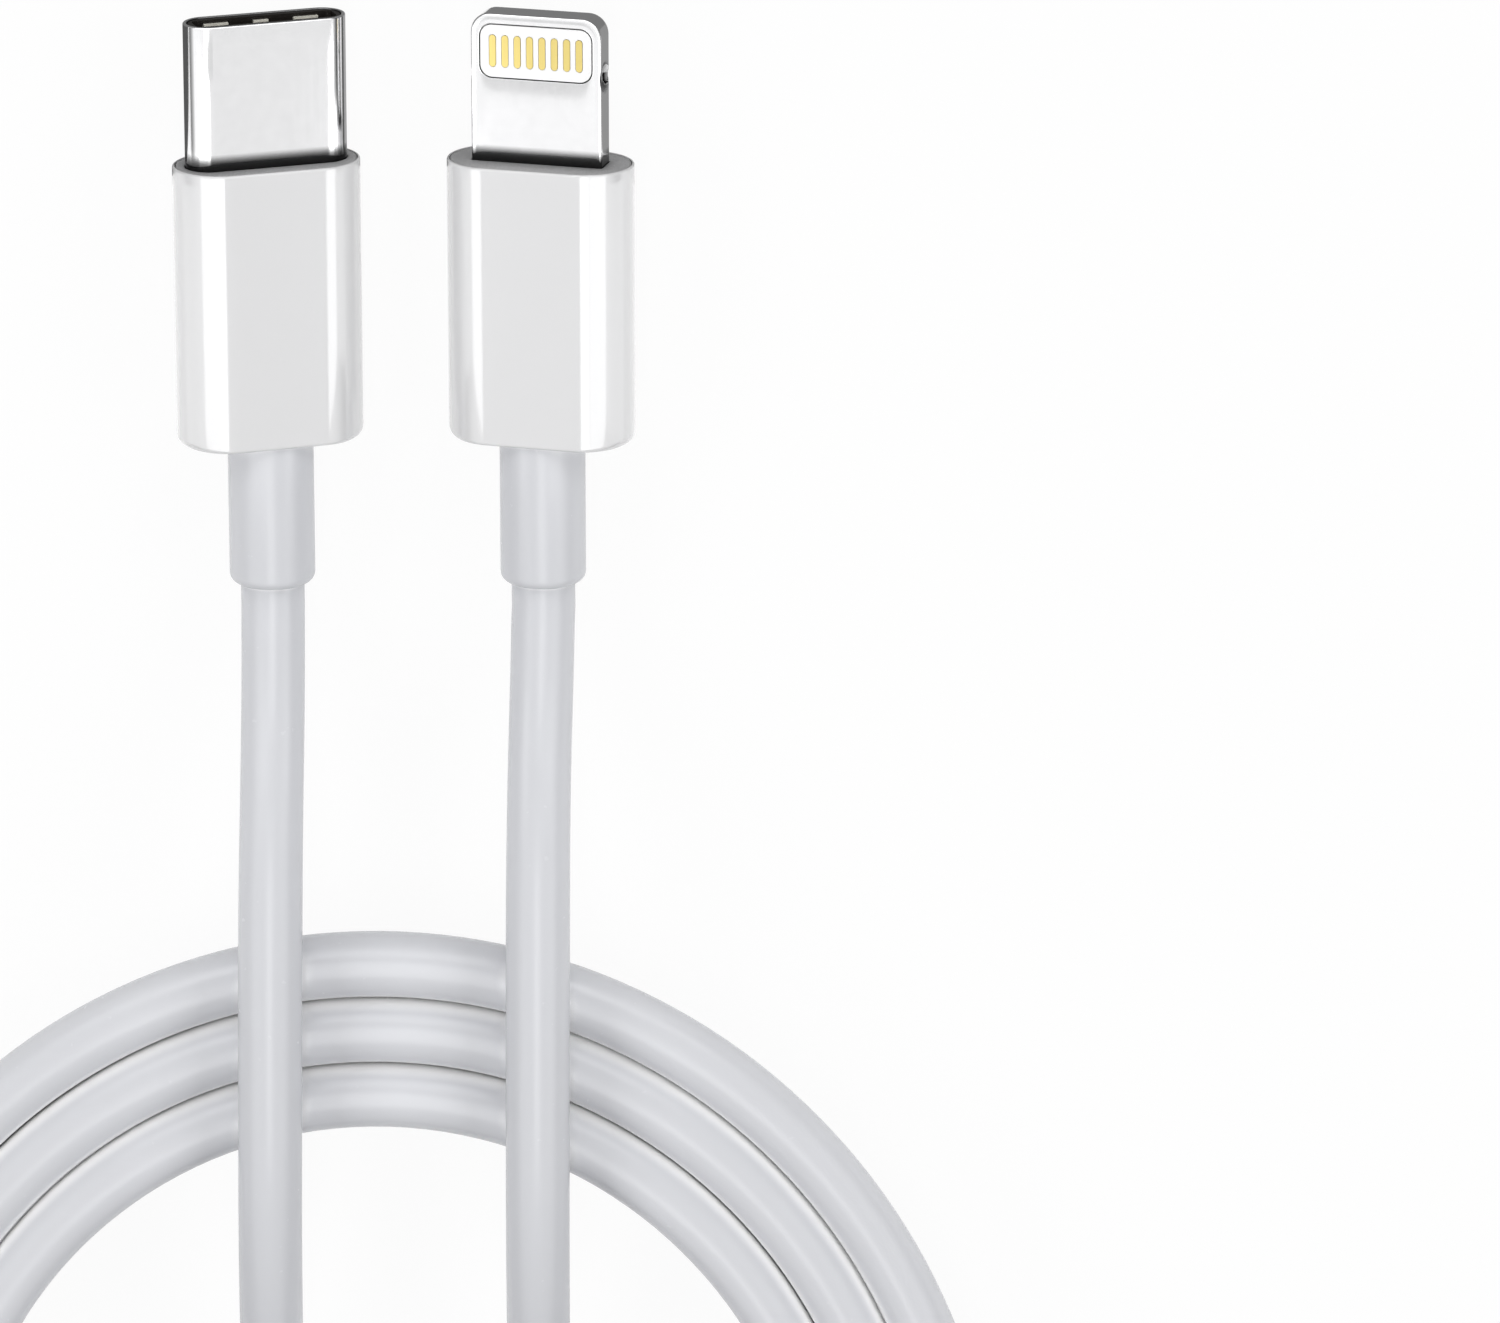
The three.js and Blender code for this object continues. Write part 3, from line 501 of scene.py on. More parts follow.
for plug in PLUG_ROLL:
    print(plug, "axis", plug_axis(plug).round(3))

# %% [markdown]
# ## The cord
# A simulation could lay the cord, but the coil has to keep the turns that the photograph shows. So one line
# follows the whole route: out of the oval plug, down in front of the coil, round its lower and upper turns,
# and back to the blade plug. It repeats the CAD route, then settles: the layers lie on each other, where the
# solids keep a gap.

# %% Route
CORD = 3.2
RELIEF_REAR = -21.8
COIL_CENTRE = (-2.37, -66.8)
COIL_STRETCH = 1.075
COIL_RADIUS = 31.0
COIL_PITCH = 3.258
LOWER_LAYER = 1.6
LAYER_RISE = 3.75
LOWER_TURNS = 1.627
CLIMB_TURNS = 0.5
CLIMB_SWELL = 0.22
UPPER_TURNS = 2.671
END_INWARD = math.radians(9)
BUTT_GAP = 0.3
MOUTH_INSIDE = 0.6
MOUTH_OUTSIDE = 0.3
COIL_STEPS = 24
SETTLE = 0.1
SETTLE_FROM = 19
SETTLE_WITHIN = 12

OVAL_TAIL = [
    [-6.83, -19.5, 3.5],
    [-6.88, -22.5, 4.48],
    [-6.92, -25.5, 6.1],
    [-6.95, -28.5, 7.7],
    [-6.98, -31.5, 8.68],
    [-7.02, -34.5, 9.0],
    [-7.07, -38.5, 9.02],
    [-7.13, -42.5, 9.0],
    [-7.2, -46.0, 8.79],
    [-7.28, -50.0, 7.84],
    [-7.36, -54.0, 6.13],
    [-7.44, -58.0, 3.97],
    [-7.52, -62.04, 2.45],
    [-7.58, -66.13, 1.75],
    [-7.61, -70.73, 1.61],
    [-7.6, -75.33, 1.61],
    [-6.64, -80.65, 1.61],
    [-3.84, -85.15, 1.61],
    [0.34, -88.2, 1.61],
    [5.27, -89.29, 1.61],
    [8.9, -88.85, 1.61],
]
BLADE_TAIL = [
    [6.7, -19.5, 3.36],
    [6.58, -22.5, 4.3],
    [6.52, -25.5, 5.86],
    [6.5, -28.5, 7.53],
    [6.49, -31.5, 8.57],
    [6.47, -35.0, 9.0],
    [6.44, -39.5, 9.02],
    [6.41, -43.5, 9.0],
    [6.38, -47.2, 8.77],
    [6.35, -51.2, 7.74],
    [6.32, -55.2, 5.89],
    [6.28, -59.2, 3.68],
    [6.25, -63.27, 2.24],
    [6.22, -67.36, 1.68],
    [6.2, -71.45, 1.8],
    [6.15, -75.53, 2.6],
    [5.42, -80.35, 4.38],
    [3.16, -84.55, 5.29],
    [-0.3, -87.66, 5.35],
    [-4.54, -89.32, 5.35],
    [-7.2, -89.6, 5.35],
]


def coil_points(angle):
    """The coil's line: a lower layer, a climb of half a turn and an upper layer on top of it.

    At the angle a, which is 0 where the upper layer starts, the lower layer winds outwards with the radius
    R + P a/2pi and the upper one inwards with R - P a/2pi, P the pitch. Over the climb q goes from 0 to 90
    degrees, as 90 s (1 + s - s^2) at its share s. The line lifts by 1 - cos q of LAYER_RISE, and its
    radius is R - P (a/2pi + 1) + P sin q + CLIMB_SWELL sin 2q, so that it rolls over the turn beside it.
    """
    angle = np.asarray(angle, float)
    climb = CLIMB_TURNS * TURN
    step = np.clip(1 + angle / climb, 0, 1)
    lift = math.pi / 2 * step * (1 + step - step**2)
    upper = COIL_RADIUS - COIL_PITCH * angle / TURN
    lower = COIL_RADIUS + COIL_PITCH * angle / TURN
    swell = COIL_PITCH * np.sin(lift) + CLIMB_SWELL * np.sin(2 * lift)
    between = COIL_RADIUS - COIL_PITCH * (angle + TURN) / TURN + swell
    radius = np.where(angle < -climb, lower, np.where(angle < 0, between, upper))
    z = LOWER_LAYER + LAYER_RISE * np.where(angle < -climb, 0, np.where(angle < 0, 1 - np.cos(lift), 1))
    x = COIL_CENTRE[0] + radius * np.cos(angle)
    y = COIL_CENTRE[1] + COIL_STRETCH * radius * np.sin(angle)
    return np.stack([x, y, z], axis=-1)


def beyond_coil(angle, side, distances):
    """Points past an end of the coil, on a straight line turned inwards by END_INWARD.

    The line starts from the coil's own direction, a central difference, made level.
    """
    along = coil_points(angle + 1e-3) - coil_points(angle - 1e-3)
    along[2] = 0
    along /= np.linalg.norm(along)
    inward = np.array([-along[1], along[0], 0])
    heading = along * side * math.cos(END_INWARD) + inward * math.sin(END_INWARD)
    return [coil_points(angle) + heading * distance for distance in distances]


def centripetal(points, steps=12):
    """A smooth line through points: Hermite spans between them, with k the square root of a span's length.

    The tangent at p1 is (p1 - p0)/k0 - (p2 - p0)/(k0 + k1) + (p2 - p1)/k1, times the span's own k.
    """
    points = np.vstack([2 * points[0] - points[1], points, 2 * points[-1] - points[-2]])
    knots = np.sqrt(np.linalg.norm(np.diff(points, axis=0), axis=1))[:, None]
    k0, k1, k2 = knots[:-2], knots[1:-1], knots[2:]
    p0, p1, p2, p3 = points[:-3], points[1:-2], points[2:-1], points[3:]
    leave = ((p1 - p0) / k0 - (p2 - p0) / (k0 + k1) + (p2 - p1) / k1) * k1
    arrive = ((p2 - p1) / k1 - (p3 - p1) / (k1 + k2) + (p3 - p2) / k2) * k1
    t = np.linspace(0, 1, steps, endpoint=False)[:, None, None]
    span = (2 * t**3 - 3 * t**2 + 1) * p1 + (t**3 - 2 * t**2 + t) * leave
    span = span + (3 * t**2 - 2 * t**3) * p2 + (t**3 - t**2) * arrive
    return np.vstack([span.transpose(1, 0, 2).reshape(-1, 3), p2[-1:]])


def evenly(points, step):
    """The same line with its points a step apart, by the summed length of its chords."""
    travelled = np.concatenate([[0], np.cumsum(np.linalg.norm(np.diff(points, axis=0), axis=1))])
    wanted = np.linspace(0, travelled[-1], round(travelled[-1] / step) + 1)
    return np.stack([np.interp(wanted, travelled, points[:, axis]) for axis in range(3)], axis=-1)


def eased(points, reach=3, passes=2):
    """The line with each point moved to the mean of its neighbours within reach, as often as passes says."""
    window = np.ones(2 * reach + 1) / (2 * reach + 1)
    for _ in range(passes):
        inner = [np.convolve(points[:, axis], window, "valid") for axis in range(3)]
        points = np.vstack([points[:reach], np.stack(inner, axis=-1), points[-reach:]])
    return points


def behind(points, start, span):
    """How far points are behind the plugs: 3 s^2 - 2 s^3, s the share of span passed since start."""
    share = np.clip((-points[:, 1] - start) / span, 0, 1)
    return share**2 * (3 - 2 * share)


def cord_route(step=1.0):
    """The cord's centreline from inside one strain relief to inside the other."""
    start, finish = -(LOWER_TURNS + CLIMB_TURNS) * TURN, UPPER_TURNS * TURN
    turns = np.linspace(start, finish, round((finish - start) / TURN * COIL_STEPS) + 1)
    leads = [CORD + BUTT_GAP + CORD / 2, CORD + BUTT_GAP, CORD]
    steps = (MOUTH_INSIDE, -MOUTH_OUTSIDE, -MOUTH_OUTSIDE - CORD / 2)
    inside, mouth, past = (np.array([0, RELIEF_REAR + along, 0]) for along in steps)
    oval, blade = plug_axis("oval"), plug_axis("blade")
    points = [
        *(oval + offset for offset in (inside, mouth, past)),
        *OVAL_TAIL,
        *beyond_coil(start, -1, leads),
        *coil_points(turns),
        *beyond_coil(finish, 1, leads[::-1]),
        *BLADE_TAIL[::-1],
        *(blade + offset for offset in (past, mouth, inside)),
    ]
    points = np.array(points, float)
    points[:, 2] -= (points[:, 2] - LOWER_LAYER) * SETTLE * behind(points, SETTLE_FROM, SETTLE_WITHIN)
    return evenly(eased(evenly(centripetal(points), step)), step)


route = cord_route()

# %% [markdown]
# ## The cord's jacket
# The jacket is a round tube. A curve with a bevel would make one, but here the rings grow a little in the
# coil and must not twist, so they are worked out: each ring's frame is the one before it turned by the
# smallest rotation that follows the line.


# %% Cord tube
COIL_FULLNESS = (0.012, 0.045, 0.0)
FULLNESS_FROM = 24
FULLNESS_WITHIN = 8


def carried_frames(line):
    """Two directions across the line at each point, carried along it without twist.

    The tangent is the central difference. The first direction starts level and at each point loses the
    part that lies along the tangent, which is the smallest turn for short steps.
    """
    tangent = np.gradient(line, axis=0)
    tangent /= np.linalg.norm(tangent, axis=1, keepdims=True)
    across = np.empty_like(line)
    direction = np.cross(tangent[0], [0, 0, 1])
    for place, heading in enumerate(tangent):
        direction = direction - heading * (direction @ heading)
        direction /= np.linalg.norm(direction)
        across[place] = direction
    return across, np.cross(tangent, across)


def coil_fullness(line):
    """Growth of the tube along x, y and z, which comes in as the line reaches the coil.

    The coil is wider along y than along x, and so is its cord by a little, so that its turns touch.
    """
    reached = behind(line, FULLNESS_FROM, FULLNESS_WITHIN)
    return 1 + reached[:, None] * np.array(COIL_FULLNESS)


def tube(line, radius, sides=28, end_round=0.25):
    """Rings of the given radius about the line: across cos t + up sin t, t round the ring.

    Both ends are eased by end_round and close to a point.
    """
    across, up = carried_frames(line)
    turn = np.linspace(0, TURN, sides, endpoint=False)[None, :, None]
    circle = across[:, None] * np.cos(turn) + up[:, None] * np.sin(turn)
    circle = circle * coil_fullness(line)[:, None]
    swing = np.linspace(0, math.pi / 2, 4)[1:]
    bodies = [line[:, None] + radius * circle]
    for place, side in ((0, 0), (-1, 1)):
        shrink = radius - end_round * (1 - np.cos(swing))
        caps = line[place] + shrink[:, None, None] * circle[place]
        caps = np.concatenate([caps, np.broadcast_to(line[place], (1, sides, 3))])
        bodies.insert(side * len(bodies), caps[::-1] if side == 0 else caps)
    return np.concatenate(bodies)


surface = tube(route, CORD / 2)
cord = add_piece(
    "charging_cord",
    surface,
    grid_faces(*surface.shape[:2], wrap_rows=False),
    "cord_jacket",
    "cord_tail_oval",
    "cord_coil",
    "cord_tail_blade",
)
print("cord", len(cord.data.polygons), "faces")

# %% [markdown]
# ## Grips
# A grip is a moulded sleeve, a stadium in section, hollow, with a pocket in front for the face plate. Its
# rear edge is nearly sharp on the flats and softer at the round sides. A bevel has one width, so the edge is
# made of rings, and its radius grows with the square of the cosine of the normal's angle.

# %% Grips
GRIP_FLAT = 2.3
GRIP_RADIUS = 2.45
GRIP_LENGTH = 14.3
GRIP_EDGE = 0.11
REAR_EDGE = 0.18
REAR_CORNER = 0.5
POCKET_RADIUS = 2.33
POCKET_DEPTH = 0.68
CAVITY_RADIUS = 1.95
CAVITY_REAR = -12.4
BORE_RADIUS = 2.18
BORE_EASE = 0.02


def grip_front():
    """Rings from the cavity over the pocket's floor and the rim to the grip's side."""
    corners = [
        [GRIP_FLAT, 0, CAVITY_RADIUS, -POCKET_DEPTH],
        [GRIP_FLAT, 0, POCKET_RADIUS, -POCKET_DEPTH],
        [GRIP_FLAT, 0, POCKET_RADIUS, 0],
        [GRIP_FLAT, 0, GRIP_RADIUS, 0],
        [GRIP_FLAT, 0, GRIP_RADIUS, -0.6],
    ]
    return rings(rounded(corners, [0, 0.02, 0.02, GRIP_EDGE, 0]))


def grip_rear(steps=9):
    """Rings round the rear edge: e (1 - cos q) inside the grip's side and e (1 - sin q) before its end.

    q goes from 0 to 90 degrees. The edge's radius e is REAR_EDGE on the flats and grows to REAR_CORNER at
    the round sides with the square of the cosine of the normal's angle.
    """
    q = np.linspace(0, math.pi / 2, steps)[:, None]
    edge = REAR_EDGE + (REAR_CORNER - REAR_EDGE) * np.cos(TRIP[0]) ** 2
    radius = GRIP_RADIUS - edge * (1 - np.cos(q))
    y = -GRIP_LENGTH + edge * (1 - np.sin(q))
    return ring(GRIP_FLAT, 0, radius, y)


def grip_inside():
    """Rings from the rear face through the bore and the cavity, back to the pocket's floor."""
    corners = [
        [0, 0, BORE_RADIUS + BORE_EASE, -GRIP_LENGTH],
        [0, 0, BORE_RADIUS, -GRIP_LENGTH + BORE_EASE],
        [0, 0, BORE_RADIUS, CAVITY_REAR],
        [GRIP_FLAT, 0, CAVITY_RADIUS, CAVITY_REAR],
    ]
    return rings(corners)


def add_grip(plug):
    """The grip's front, rear edge and inside, joined into one closed surface."""
    surface = np.concatenate([grip_front(), grip_rear(), grip_inside()])
    faces = grid_faces(*surface.shape[:2])
    return add_piece(plug + "_grip_body", placed(surface, plug), faces, "grip_white", plug + "_grip")


for plug in PLUG_ROLL:
    print(plug, "grip", len(add_grip(plug).data.polygons), "faces")

# %% [markdown]
# ## Strain reliefs
# A soft sleeve keeps the cord from kinking where it leaves the grip. A bevelled cylinder would come close,
# but the same rings as before, with both half flats at 0, give each of its edges its own radius.

# %% Strain reliefs
RELIEF_RADIUS = 2.15
RELIEF_FRONT = -12.45
RELIEF_REAR_EDGE = 0.55
RELIEF_BORE = 1.62


def add_relief(plug):
    """A round sleeve on the cord, with a soft rear edge."""
    corners = [
        [0, 0, RELIEF_BORE, RELIEF_FRONT],
        [0, 0, RELIEF_RADIUS, RELIEF_FRONT],
        [0, 0, RELIEF_RADIUS, RELIEF_REAR],
        [0, 0, RELIEF_BORE, RELIEF_REAR],
    ]
    radii = [0.02, 0.05, RELIEF_REAR_EDGE - 0.05, 0.02]
    surface = rings(rounded(corners, radii, steps=7, closed=True))
    faces = grid_faces(*surface.shape[:2])
    node = plug + "_strain_relief"
    return add_piece(plug + "_relief_sleeve", placed(surface, plug), faces, "relief_soft_plastic", node)


for plug in PLUG_ROLL:
    print(plug, "relief", len(add_relief(plug).data.polygons), "faces")

# %% [markdown]
# ## Face plates
# A plate closes each grip round the shell or the tab, a hair behind the grip's rim. Its grey is painted
# shade, for a face that gets little light. A boolean could cut its hole, but rings that run from the
# outline to the hole give neat edges without one.

# %% Face plates
PLATE_RADIUS = 2.28
PLATE_RECESS = 0.03
PLATE_THICKNESS = 0.6
SHELL_FLAT = 2.925
SHELL_RADIUS = 1.2
TAB_HALF_WIDTH = 3.35
TAB_HALF_HEIGHT = 0.75
TAB_EDGE = 0.12
PLATE_HOLE = {
    "oval": [SHELL_FLAT, 0, SHELL_RADIUS + 0.04],
    "blade": [TAB_HALF_WIDTH - TAB_EDGE, TAB_HALF_HEIGHT - TAB_EDGE, TAB_EDGE + 0.04],
}


def add_face_plate(plug):
    """A flat ring between the grip's stadium and the hole, with eased edges at the front."""
    front, rear = -PLATE_RECESS, -PLATE_RECESS - PLATE_THICKNESS
    hole = PLATE_HOLE[plug]
    corners = [
        [*hole, rear],
        [GRIP_FLAT, 0, PLATE_RADIUS, rear],
        [GRIP_FLAT, 0, PLATE_RADIUS, front],
        [*hole, front],
    ]
    surface = rings(rounded(corners, [0, 0.02, 0.06, 0.03], steps=3, closed=True))
    faces = grid_faces(*surface.shape[:2])
    node = plug + "_face_plate"
    return add_piece(plug + "_front_plate", placed(surface, plug), faces, "face_plate_grey", node)


for plug in PLUG_ROLL:
    print(plug, "face plate", len(add_face_plate(plug).data.polygons), "faces")

# %% [markdown]
# ## Shell
# The oval plug's shell is drawn from one sheet of steel, so it has no seam, and its mouth is rounded. A tube
# with a Solidify modifier would have sharp ends, so the wall's whole profile is carried round instead.

# %% Shell
SHELL_WALL = 0.2
SHELL_REACH = 7.3
SHELL_TAIL = -3.0
MOUTH_ROUND = 0.08


def add_shell():
    """The oval tube, a closed wall whose mouth is rounded inside and out."""
    inner, outer = SHELL_RADIUS - SHELL_WALL, SHELL_RADIUS
    corners = [
        [SHELL_FLAT, 0, inner, SHELL_TAIL],
        [SHELL_FLAT, 0, outer, SHELL_TAIL],
        [SHELL_FLAT, 0, outer, SHELL_REACH],
        [SHELL_FLAT, 0, inner, SHELL_REACH],
    ]
    surface = rings(rounded(corners, [0.03, 0.03, MOUTH_ROUND, MOUTH_ROUND], closed=True))
    faces = grid_faces(*surface.shape[:2])
    return add_piece("oval_drawn_shell", placed(surface, "oval"), faces, "bright_plated_steel", "oval_shell")


print("shell", len(add_shell().data.polygons), "faces")

# %% [markdown]
# ## Tab
# The blade plug's tab is a flat steel bar with round tip corners, a round dent in each side and a window for
# the contacts. Booleans would leave long thin faces that spoil a mirror, so two outlines with equally many
# points are joined, the bar's and the window's, each with its rounded edges.

# %% Tab
TAB_REACH = 7.5
TAB_TAIL = -3.0
TAB_CORNER = 1.0
TAB_TAIL_CORNER = 0.3
DENT_RADIUS = 0.95
DENT_DEPTH = 0.4
DENT_SETBACK = 3.05
WINDOW_HALF_WIDTH = 2.9
WINDOW_LENGTH = 2.75
WINDOW_CORNER = 0.65
WINDOW_SETBACK = 0.52
WINDOW_EDGE = 0.05
DENT_STEPS = 24
WALL_STEPS = 10
FLAT_STEPS = 6


def quarter(centre, radius, start, steps=10):
    """A quarter circle, anticlockwise from the angle start."""
    angle = start + np.linspace(0, math.pi / 2, steps + 1)
    return np.stack([centre[0] + radius * np.cos(angle), centre[1] + radius * np.sin(angle)], axis=-1)


def straight(first, last, steps=FLAT_STEPS):
    """Points from first to last, without the ends."""
    share = np.linspace(0, 1, steps + 2)[1:-1, None]
    return np.asarray(first) * (1 - share) + np.asarray(last) * share


def dented(points):
    """The bar's points with a round dent in each side: |x| stays below the ball that is cut out.

    The ball of radius R stands R - depth outside the side, so at (y, z) the cut begins at
    |x| = half width + R - depth - sqrt(R^2 - (y - y0)^2 - z^2).
    """
    x, y, z = np.moveaxis(points, -1, 0)
    inside = DENT_RADIUS**2 - (y - TAB_REACH + DENT_SETBACK) ** 2 - z**2
    start = TAB_HALF_WIDTH + DENT_RADIUS - DENT_DEPTH - np.sqrt(np.maximum(inside, 0))
    across = np.where(inside > 0, np.minimum(np.abs(x), start), np.abs(x))
    return np.stack([np.sign(x) * across, y, z], axis=-1)


def both_sides(right):
    """A closed outline from its right half, run up from the tail to the tip, and that half's mirror."""
    return np.concatenate([right, right[::-1] * [-1, 1]])


def tab_outline():
    """The bar's outline: tail corner, side, round tip corner, half the tip."""
    wide = TAB_HALF_WIDTH
    shoulder = (wide - TAB_CORNER, TAB_REACH - TAB_CORNER)
    tail_corner = (wide - TAB_TAIL_CORNER, TAB_TAIL + TAB_TAIL_CORNER)
    dent = TAB_REACH - DENT_SETBACK
    right = [
        straight((0, TAB_TAIL), (tail_corner[0], TAB_TAIL)),
        quarter(tail_corner, TAB_TAIL_CORNER, -math.pi / 2),
        straight((wide, tail_corner[1]), (wide, dent - DENT_RADIUS)),
        straight((wide, dent - DENT_RADIUS), (wide, dent + DENT_RADIUS), DENT_STEPS),
        straight((wide, dent + DENT_RADIUS), (wide, shoulder[1])),
        quarter(shoulder, TAB_CORNER, 0),
        straight((shoulder[0], TAB_REACH), (0, TAB_REACH)),
    ]
    return both_sides(np.concatenate(right))


def window_outline():
    """The window's outline with as many points in each stretch as the bar's, so that they pair up."""
    top = TAB_REACH - WINDOW_SETBACK
    base = top - WINDOW_LENGTH
    wide = WINDOW_HALF_WIDTH
    inset = WINDOW_CORNER
    low, high = (wide - inset, base + inset), (wide - inset, top - inset)
    side = straight((wide, low[1]), (wide, high[1]), FLAT_STEPS + DENT_STEPS + FLAT_STEPS)
    right = [
        straight((0, base), (low[0], base)),
        quarter(low, inset, -math.pi / 2),
        side,
        quarter(high, inset, 0),
        straight((high[0], top), (0, top)),
    ]
    return both_sides(np.concatenate(right))


def outward(outline):
    """Unit normals of an anticlockwise outline: the central difference turned by -90 degrees."""
    along = np.roll(outline, -1, axis=0) - np.roll(outline, 1, axis=0)
    along /= np.linalg.norm(along, axis=1, keepdims=True)
    return np.stack([along[:, 1], -along[:, 0]], axis=-1)


def edge_rows(outline, edge, height, sense, steps=4):
    """Rows down over a rounded edge and along a wall to the rounded edge below it.

    Row q of the upper edge lies edge (1 - cos q) inside the outline, at height - edge (1 - sin q). sense
    is 1 where the wall faces out of the outline and -1 where it faces into a hole.
    """
    q = np.linspace(math.pi / 2, 0, steps + 1)
    rounding, drop = edge * (1 - np.cos(q)), edge * (1 - np.sin(q))
    wall = np.linspace(height - edge, edge - height, WALL_STEPS + 1)[1:-1]
    inset = np.concatenate([rounding, 0 * wall, rounding[::-1]])
    z = np.concatenate([height - drop, wall, drop[::-1] - height])
    plan = outline - sense * inset[:, None, None] * outward(outline)
    x, y = np.moveaxis(plan, -1, 0)
    return np.stack([x, y, z[:, None] + 0 * x], axis=-1)


def add_tab():
    """The bar: its outer edge from top to bottom, then the window's edge from bottom to top."""
    outer = dented(edge_rows(tab_outline(), TAB_EDGE, TAB_HALF_HEIGHT, 1))
    inner = edge_rows(window_outline(), WINDOW_EDGE, TAB_HALF_HEIGHT, -1)
    surface = np.concatenate([outer, inner[::-1]])
    faces = grid_faces(*surface.shape[:2])
    return add_piece("blade_steel_tab", placed(surface, "blade"), faces, "bright_plated_steel", "blade_tab")


print("tab", len(add_tab().data.polygons), "faces")

# %% [markdown]
# ## The pieces that keep their CAD surface
# Linings, springs, contacts, cards, cans, moulds and wires are as finished in CAD as they show, so they are
# not made again. Each takes its material by the pattern of its name, which is shorter than a line for each.

# %% CAD pieces
CAD_SLOTS = {
    "oval_lining": "black_lining",
    "oval_spring_*": "spring_steel",
    "oval_latch": "satin_steel",
    "oval_contact_*": "gold_plate",
    "blade_insert": "white_insert",
    "blade_pad_*": "gold_plate",
    "blade_chip": "chip_black",
    "*_card": "circuit_card",
    "*_jacket_end": "cord_jacket",
    "*_inner_mould": "inner_mould",
    "*_shield_can": "tinned_can",
    "*_wire_power": "wire_power",
    "*_wire_data_plus": "wire_data_plus",
    "*_wire_data_minus": "wire_data_minus",
    "*_wire_ground": "wire_ground",
}


def dress_cad():
    """Give each CAD node whose name fits a pattern that pattern's material, and count them."""
    dressed = 0
    for pattern, slot in CAD_SLOTS.items():
        for node in fnmatch.filter(frame["nodes"], pattern):
            thing = frame["nodes"][node]
            thing.data.materials.clear()
            thing.data.materials.append(MATERIALS[slot])
            dressed += 1
    return dressed


print(dress_cad(), "CAD pieces dressed")

# %% [markdown]
# ## World
# The cable was photographed in white surroundings. A plain white world would light it too much and make
# every mirror white, so rays are told apart: the camera sees white, plain surfaces get a dim even light, and
# mirrors see a bright ceiling that darkens towards the sides.

# %% World
HORIZON = math.radians(62)
PLAIN_LIGHT = 0.22
MIRRORED_SIDE = 0.06
MIRRORED_RISE = 0.9
MIRRORED_SLOPE = 0.16


def add_world():
    """White to the camera, dim to plain surfaces, and to mirrors a ceiling that darkens towards the sides.

    With c the cosine of a ray's angle from overhead about the plugs' length, over the cosine of HORIZON and
    at most 1, mirrors see MIRRORED_SIDE + MIRRORED_RISE c^2, less MIRRORED_SLOPE times the ray's x.
    """
    world = bpy.data.worlds.new("studio")
    bpy.context.scene.world = world
    world.use_nodes = True
    graph = Graph(world.node_tree)
    coordinates = graph.node("ShaderNodeTexCoord")
    split = graph.node("ShaderNodeSeparateXYZ", None, {"Vector": graph.wire(coordinates, "Generated")})
    across, height = graph.wire(split, "X"), graph.wire(split, "Z")
    overhead = height / (across * across + height * height + 1e-6) ** 0.5
    ceiling = (overhead / math.cos(HORIZON)).clamped() ** 2
    mirrored = MIRRORED_SIDE + MIRRORED_RISE * ceiling - MIRRORED_SLOPE * across
    path = graph.node("ShaderNodeLightPath")
    camera_ray = graph.wire(path, "Is Camera Ray")
    glossy_ray = graph.wire(path, "Is Glossy Ray").math("MAXIMUM", graph.wire(path, "Is Transmission Ray"))
    other = PLAIN_LIGHT + (mirrored - PLAIN_LIGHT) * glossy_ray
    inputs = {"Color": (1, 1, 1), "Strength": camera_ray + (1 - camera_ray) * other}
    background = graph.node("ShaderNodeBackground", None, inputs)
    graph.node("ShaderNodeOutputWorld", None, {"Surface": graph.wire(background)})


add_world()
print("world set")

# %% [markdown]
# ## Soft boxes
# Points or a sun would draw hard shadows. Three soft boxes hang over the plugs: all of them light, and only
# the middle one shows in mirrors. A weaker one before the plugs, which mirrors show too, shines into the
# oval plug's mouth.

# %% Soft boxes
BOX_DISTANCE = 600.0
BOX_REACH = (-360.0, 190.0)
BOX_RADIANCE = 2.8
BOX_SPANS = {"soft_box_left": (-62, -38), "soft_box_middle": (-11, 9), "soft_box_right": (38, 62)}
FRONT_TILT = math.radians(52)
FRONT_SIZE = (1200.0, 266.0)
FRONT_RADIANCE = 1.9


def add_light(name, size, place, turn, radiance):
    """A flat rectangular light of an even radiance: its power is the radiance times pi times its area."""
    data = bpy.data.lights.new(name, "AREA")
    data.shape = "RECTANGLE"
    data.size, data.size_y = (side * MM for side in size)
    data.energy = radiance * math.pi * data.size * data.size_y
    light = bpy.data.objects.new(name, data)
    light.location = np.array(place) * MM
    light.rotation_euler = turn
    bpy.context.collection.objects.link(light)
    return light


def add_soft_box(name, first, last):
    """A light over the plugs that spans the angles first to last from overhead, seen along them.

    Mirrors show it only where it spans the angle 0.
    """
    middle, half = (last + first) / 2, (last - first) / 2
    near, far = BOX_REACH
    size = (2 * BOX_DISTANCE * math.tan(half), far - near)
    place = [math.sin(middle) * BOX_DISTANCE, (near + far) / 2, math.cos(middle) * BOX_DISTANCE]
    light = add_light(name, size, place, (0, middle, 0), BOX_RADIANCE)
    light.visible_glossy = first < 0 < last


def add_front_box():
    """A weaker light before the plugs, low enough to shine into the oval plug's mouth."""
    place = [0, math.sin(FRONT_TILT) * BOX_DISTANCE, math.cos(FRONT_TILT) * BOX_DISTANCE]
    add_light("soft_box_front", FRONT_SIZE, place, (-FRONT_TILT, 0, 0), FRONT_RADIANCE)


for name, (first, last) in BOX_SPANS.items():
    add_soft_box(name, math.radians(first), math.radians(last))
add_front_box()
print(len(BOX_SPANS) + 1, "soft boxes")

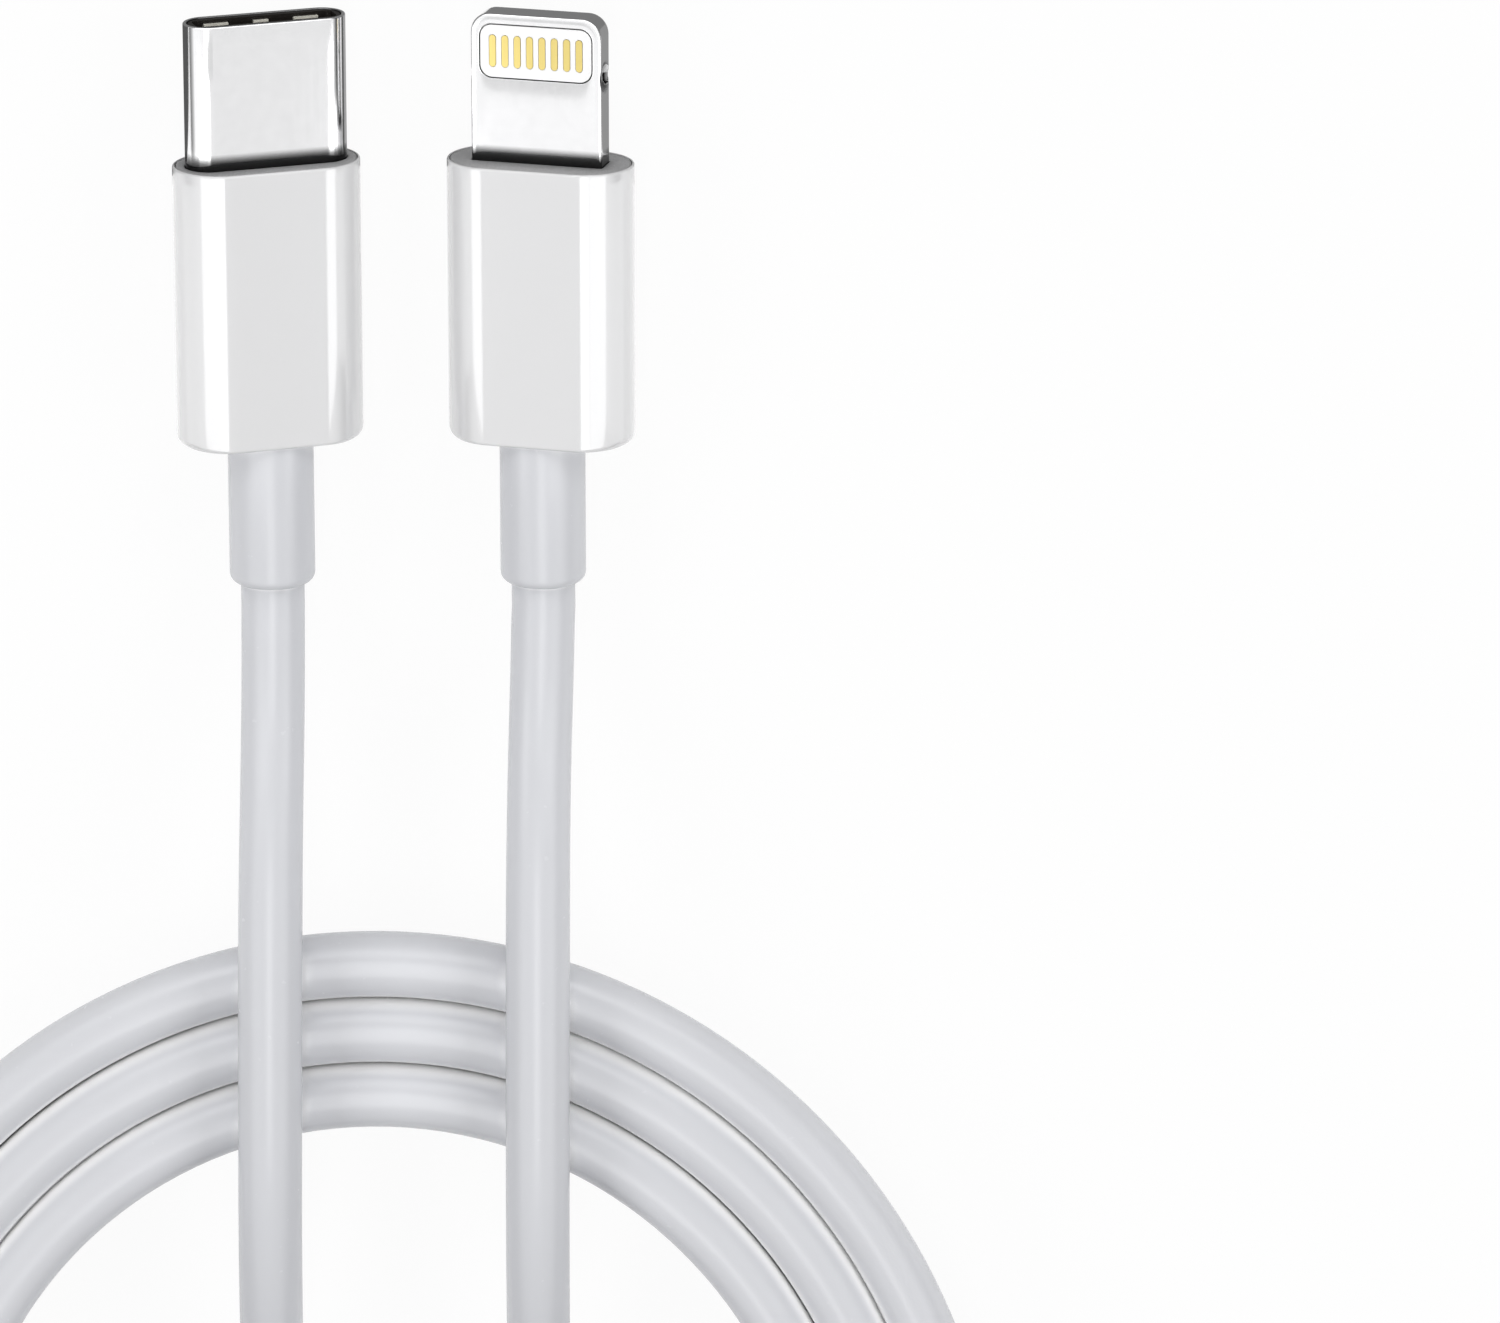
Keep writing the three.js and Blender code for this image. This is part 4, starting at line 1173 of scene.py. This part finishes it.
# %% [markdown]
# ## Floor and cards
# The floor is white to the camera and a pale surface to other rays, so that it keeps the cable's shadow.
# Polished metal and glossy plastic show what is round them, and a photographer puts cards there. So does
# this cell, with cards that only mirrors see: bright ones draw the bands on the grips and the shell, and
# grey ones the dark lines along the edges of the shell and the tab.

# %% Floor and cards
FLOOR_HALF = 2000.0
FLOOR_WHITE_SHARE = 0.93
FLOOR_IN_MIRRORS = 0.7
FLOOR_PALE = (0.85, 0.85, 0.85)
# Each card: its span in x, its span in y, its heights at both ends of x, and its strength (1 is white).
CARDS = {
    "card_over_oval": ((-28, -10.5), (-16, 9), (23, 23), 3.0),
    "card_over_blade": ((12, 30), (-16, 9), (23, 23), 3.0),
    "card_left": ((-34, -28), (-16, 1), (0, 23), 1.5),
    "card_right": ((30, 36), (-16, 1), (23, 0), 1.5),
    "card_low_left": ((-34, -12), (-12, 5), (0.04, 0.04), 1.1),
    "card_low_right": ((12, 36), (-12, 5), (0.04, 0.04), 1.1),
    "card_over_tab": ((-9.4, -0.4), (8.4, 12), (23, 23), 0.76),
    "card_before_tips": ((-60, 60), (14.6, 60), (0.05, 0.05), 0.2),
    "card_beside_shell": ((-60, -9), (5.5, 14.6), (0.06, 0.06), 0.1),
    "card_right_of_shell": ((-3.4, 0), (6, 14.6), (0.06, 0.06), 0.4),
    "card_left_of_tab": ((0, 3.2), (6, 14.6), (0.06, 0.06), 0.1),
    "card_beside_tab": ((9.5, 22), (6.5, 14.6), (0.06, 0.06), 0.3),
}


def add_sheet(name, x, y, z):
    """A rectangle that isn't part of the object: it runs straight from (x0, z0) to (x1, z1), across y."""
    corners = np.array([[x[0], y[0], z[0]], [x[1], y[0], z[1]], [x[1], y[1], z[1]], [x[0], y[1], z[0]]])
    mesh = bpy.data.meshes.new(name)
    mesh.from_pydata((corners * MM).tolist(), [], [[0, 1, 2, 3]])
    sheet = bpy.data.objects.new(name, mesh)
    bpy.context.collection.objects.link(sheet)
    mesh.materials.append(bpy.data.materials.new(name))
    mesh.materials[0].use_nodes = True
    return sheet, Graph(mesh.materials[0].node_tree)


def add_floor():
    """A wide floor under the cable: white light to camera and mirrored rays, else a pale surface."""
    span = (-FLOOR_HALF, FLOOR_HALF)
    _, graph = add_sheet("floor", span, span, (0, 0))
    path = graph.node("ShaderNodeLightPath")
    glossy = graph.wire(path, "Is Glossy Ray")
    seen = graph.wire(path, "Is Camera Ray") + FLOOR_IN_MIRRORS * glossy
    seen = (seen + graph.wire(path, "Is Transmission Ray")).clamped()
    pale = graph.node("ShaderNodeBsdfDiffuse", None, {"Color": FLOOR_PALE})
    white = graph.node("ShaderNodeEmission", None, {"Color": (1, 1, 1), "Strength": 1.0})
    mix = graph.node("ShaderNodeMixShader")
    graph.feed(mix.inputs[0], FLOOR_WHITE_SHARE * seen)
    graph.feed(mix.inputs[1], graph.wire(pale))
    graph.feed(mix.inputs[2], graph.wire(white))
    graph.node("ShaderNodeOutputMaterial", None, {"Surface": graph.wire(mix)})


def add_card(name, x, y, z, strength):
    """A card that only mirrors show, white where its strength is 1."""
    sheet, graph = add_sheet(name, x, y, z)
    glow = graph.node("ShaderNodeEmission", None, {"Color": (1, 1, 1), "Strength": strength})
    graph.node("ShaderNodeOutputMaterial", None, {"Surface": graph.wire(glow)})
    sheet.visible_camera = False
    sheet.visible_diffuse = False
    sheet.visible_shadow = False


add_floor()
for name, setting in CARDS.items():
    add_card(name, *setting)
print("floor and", len(CARDS), "cards")
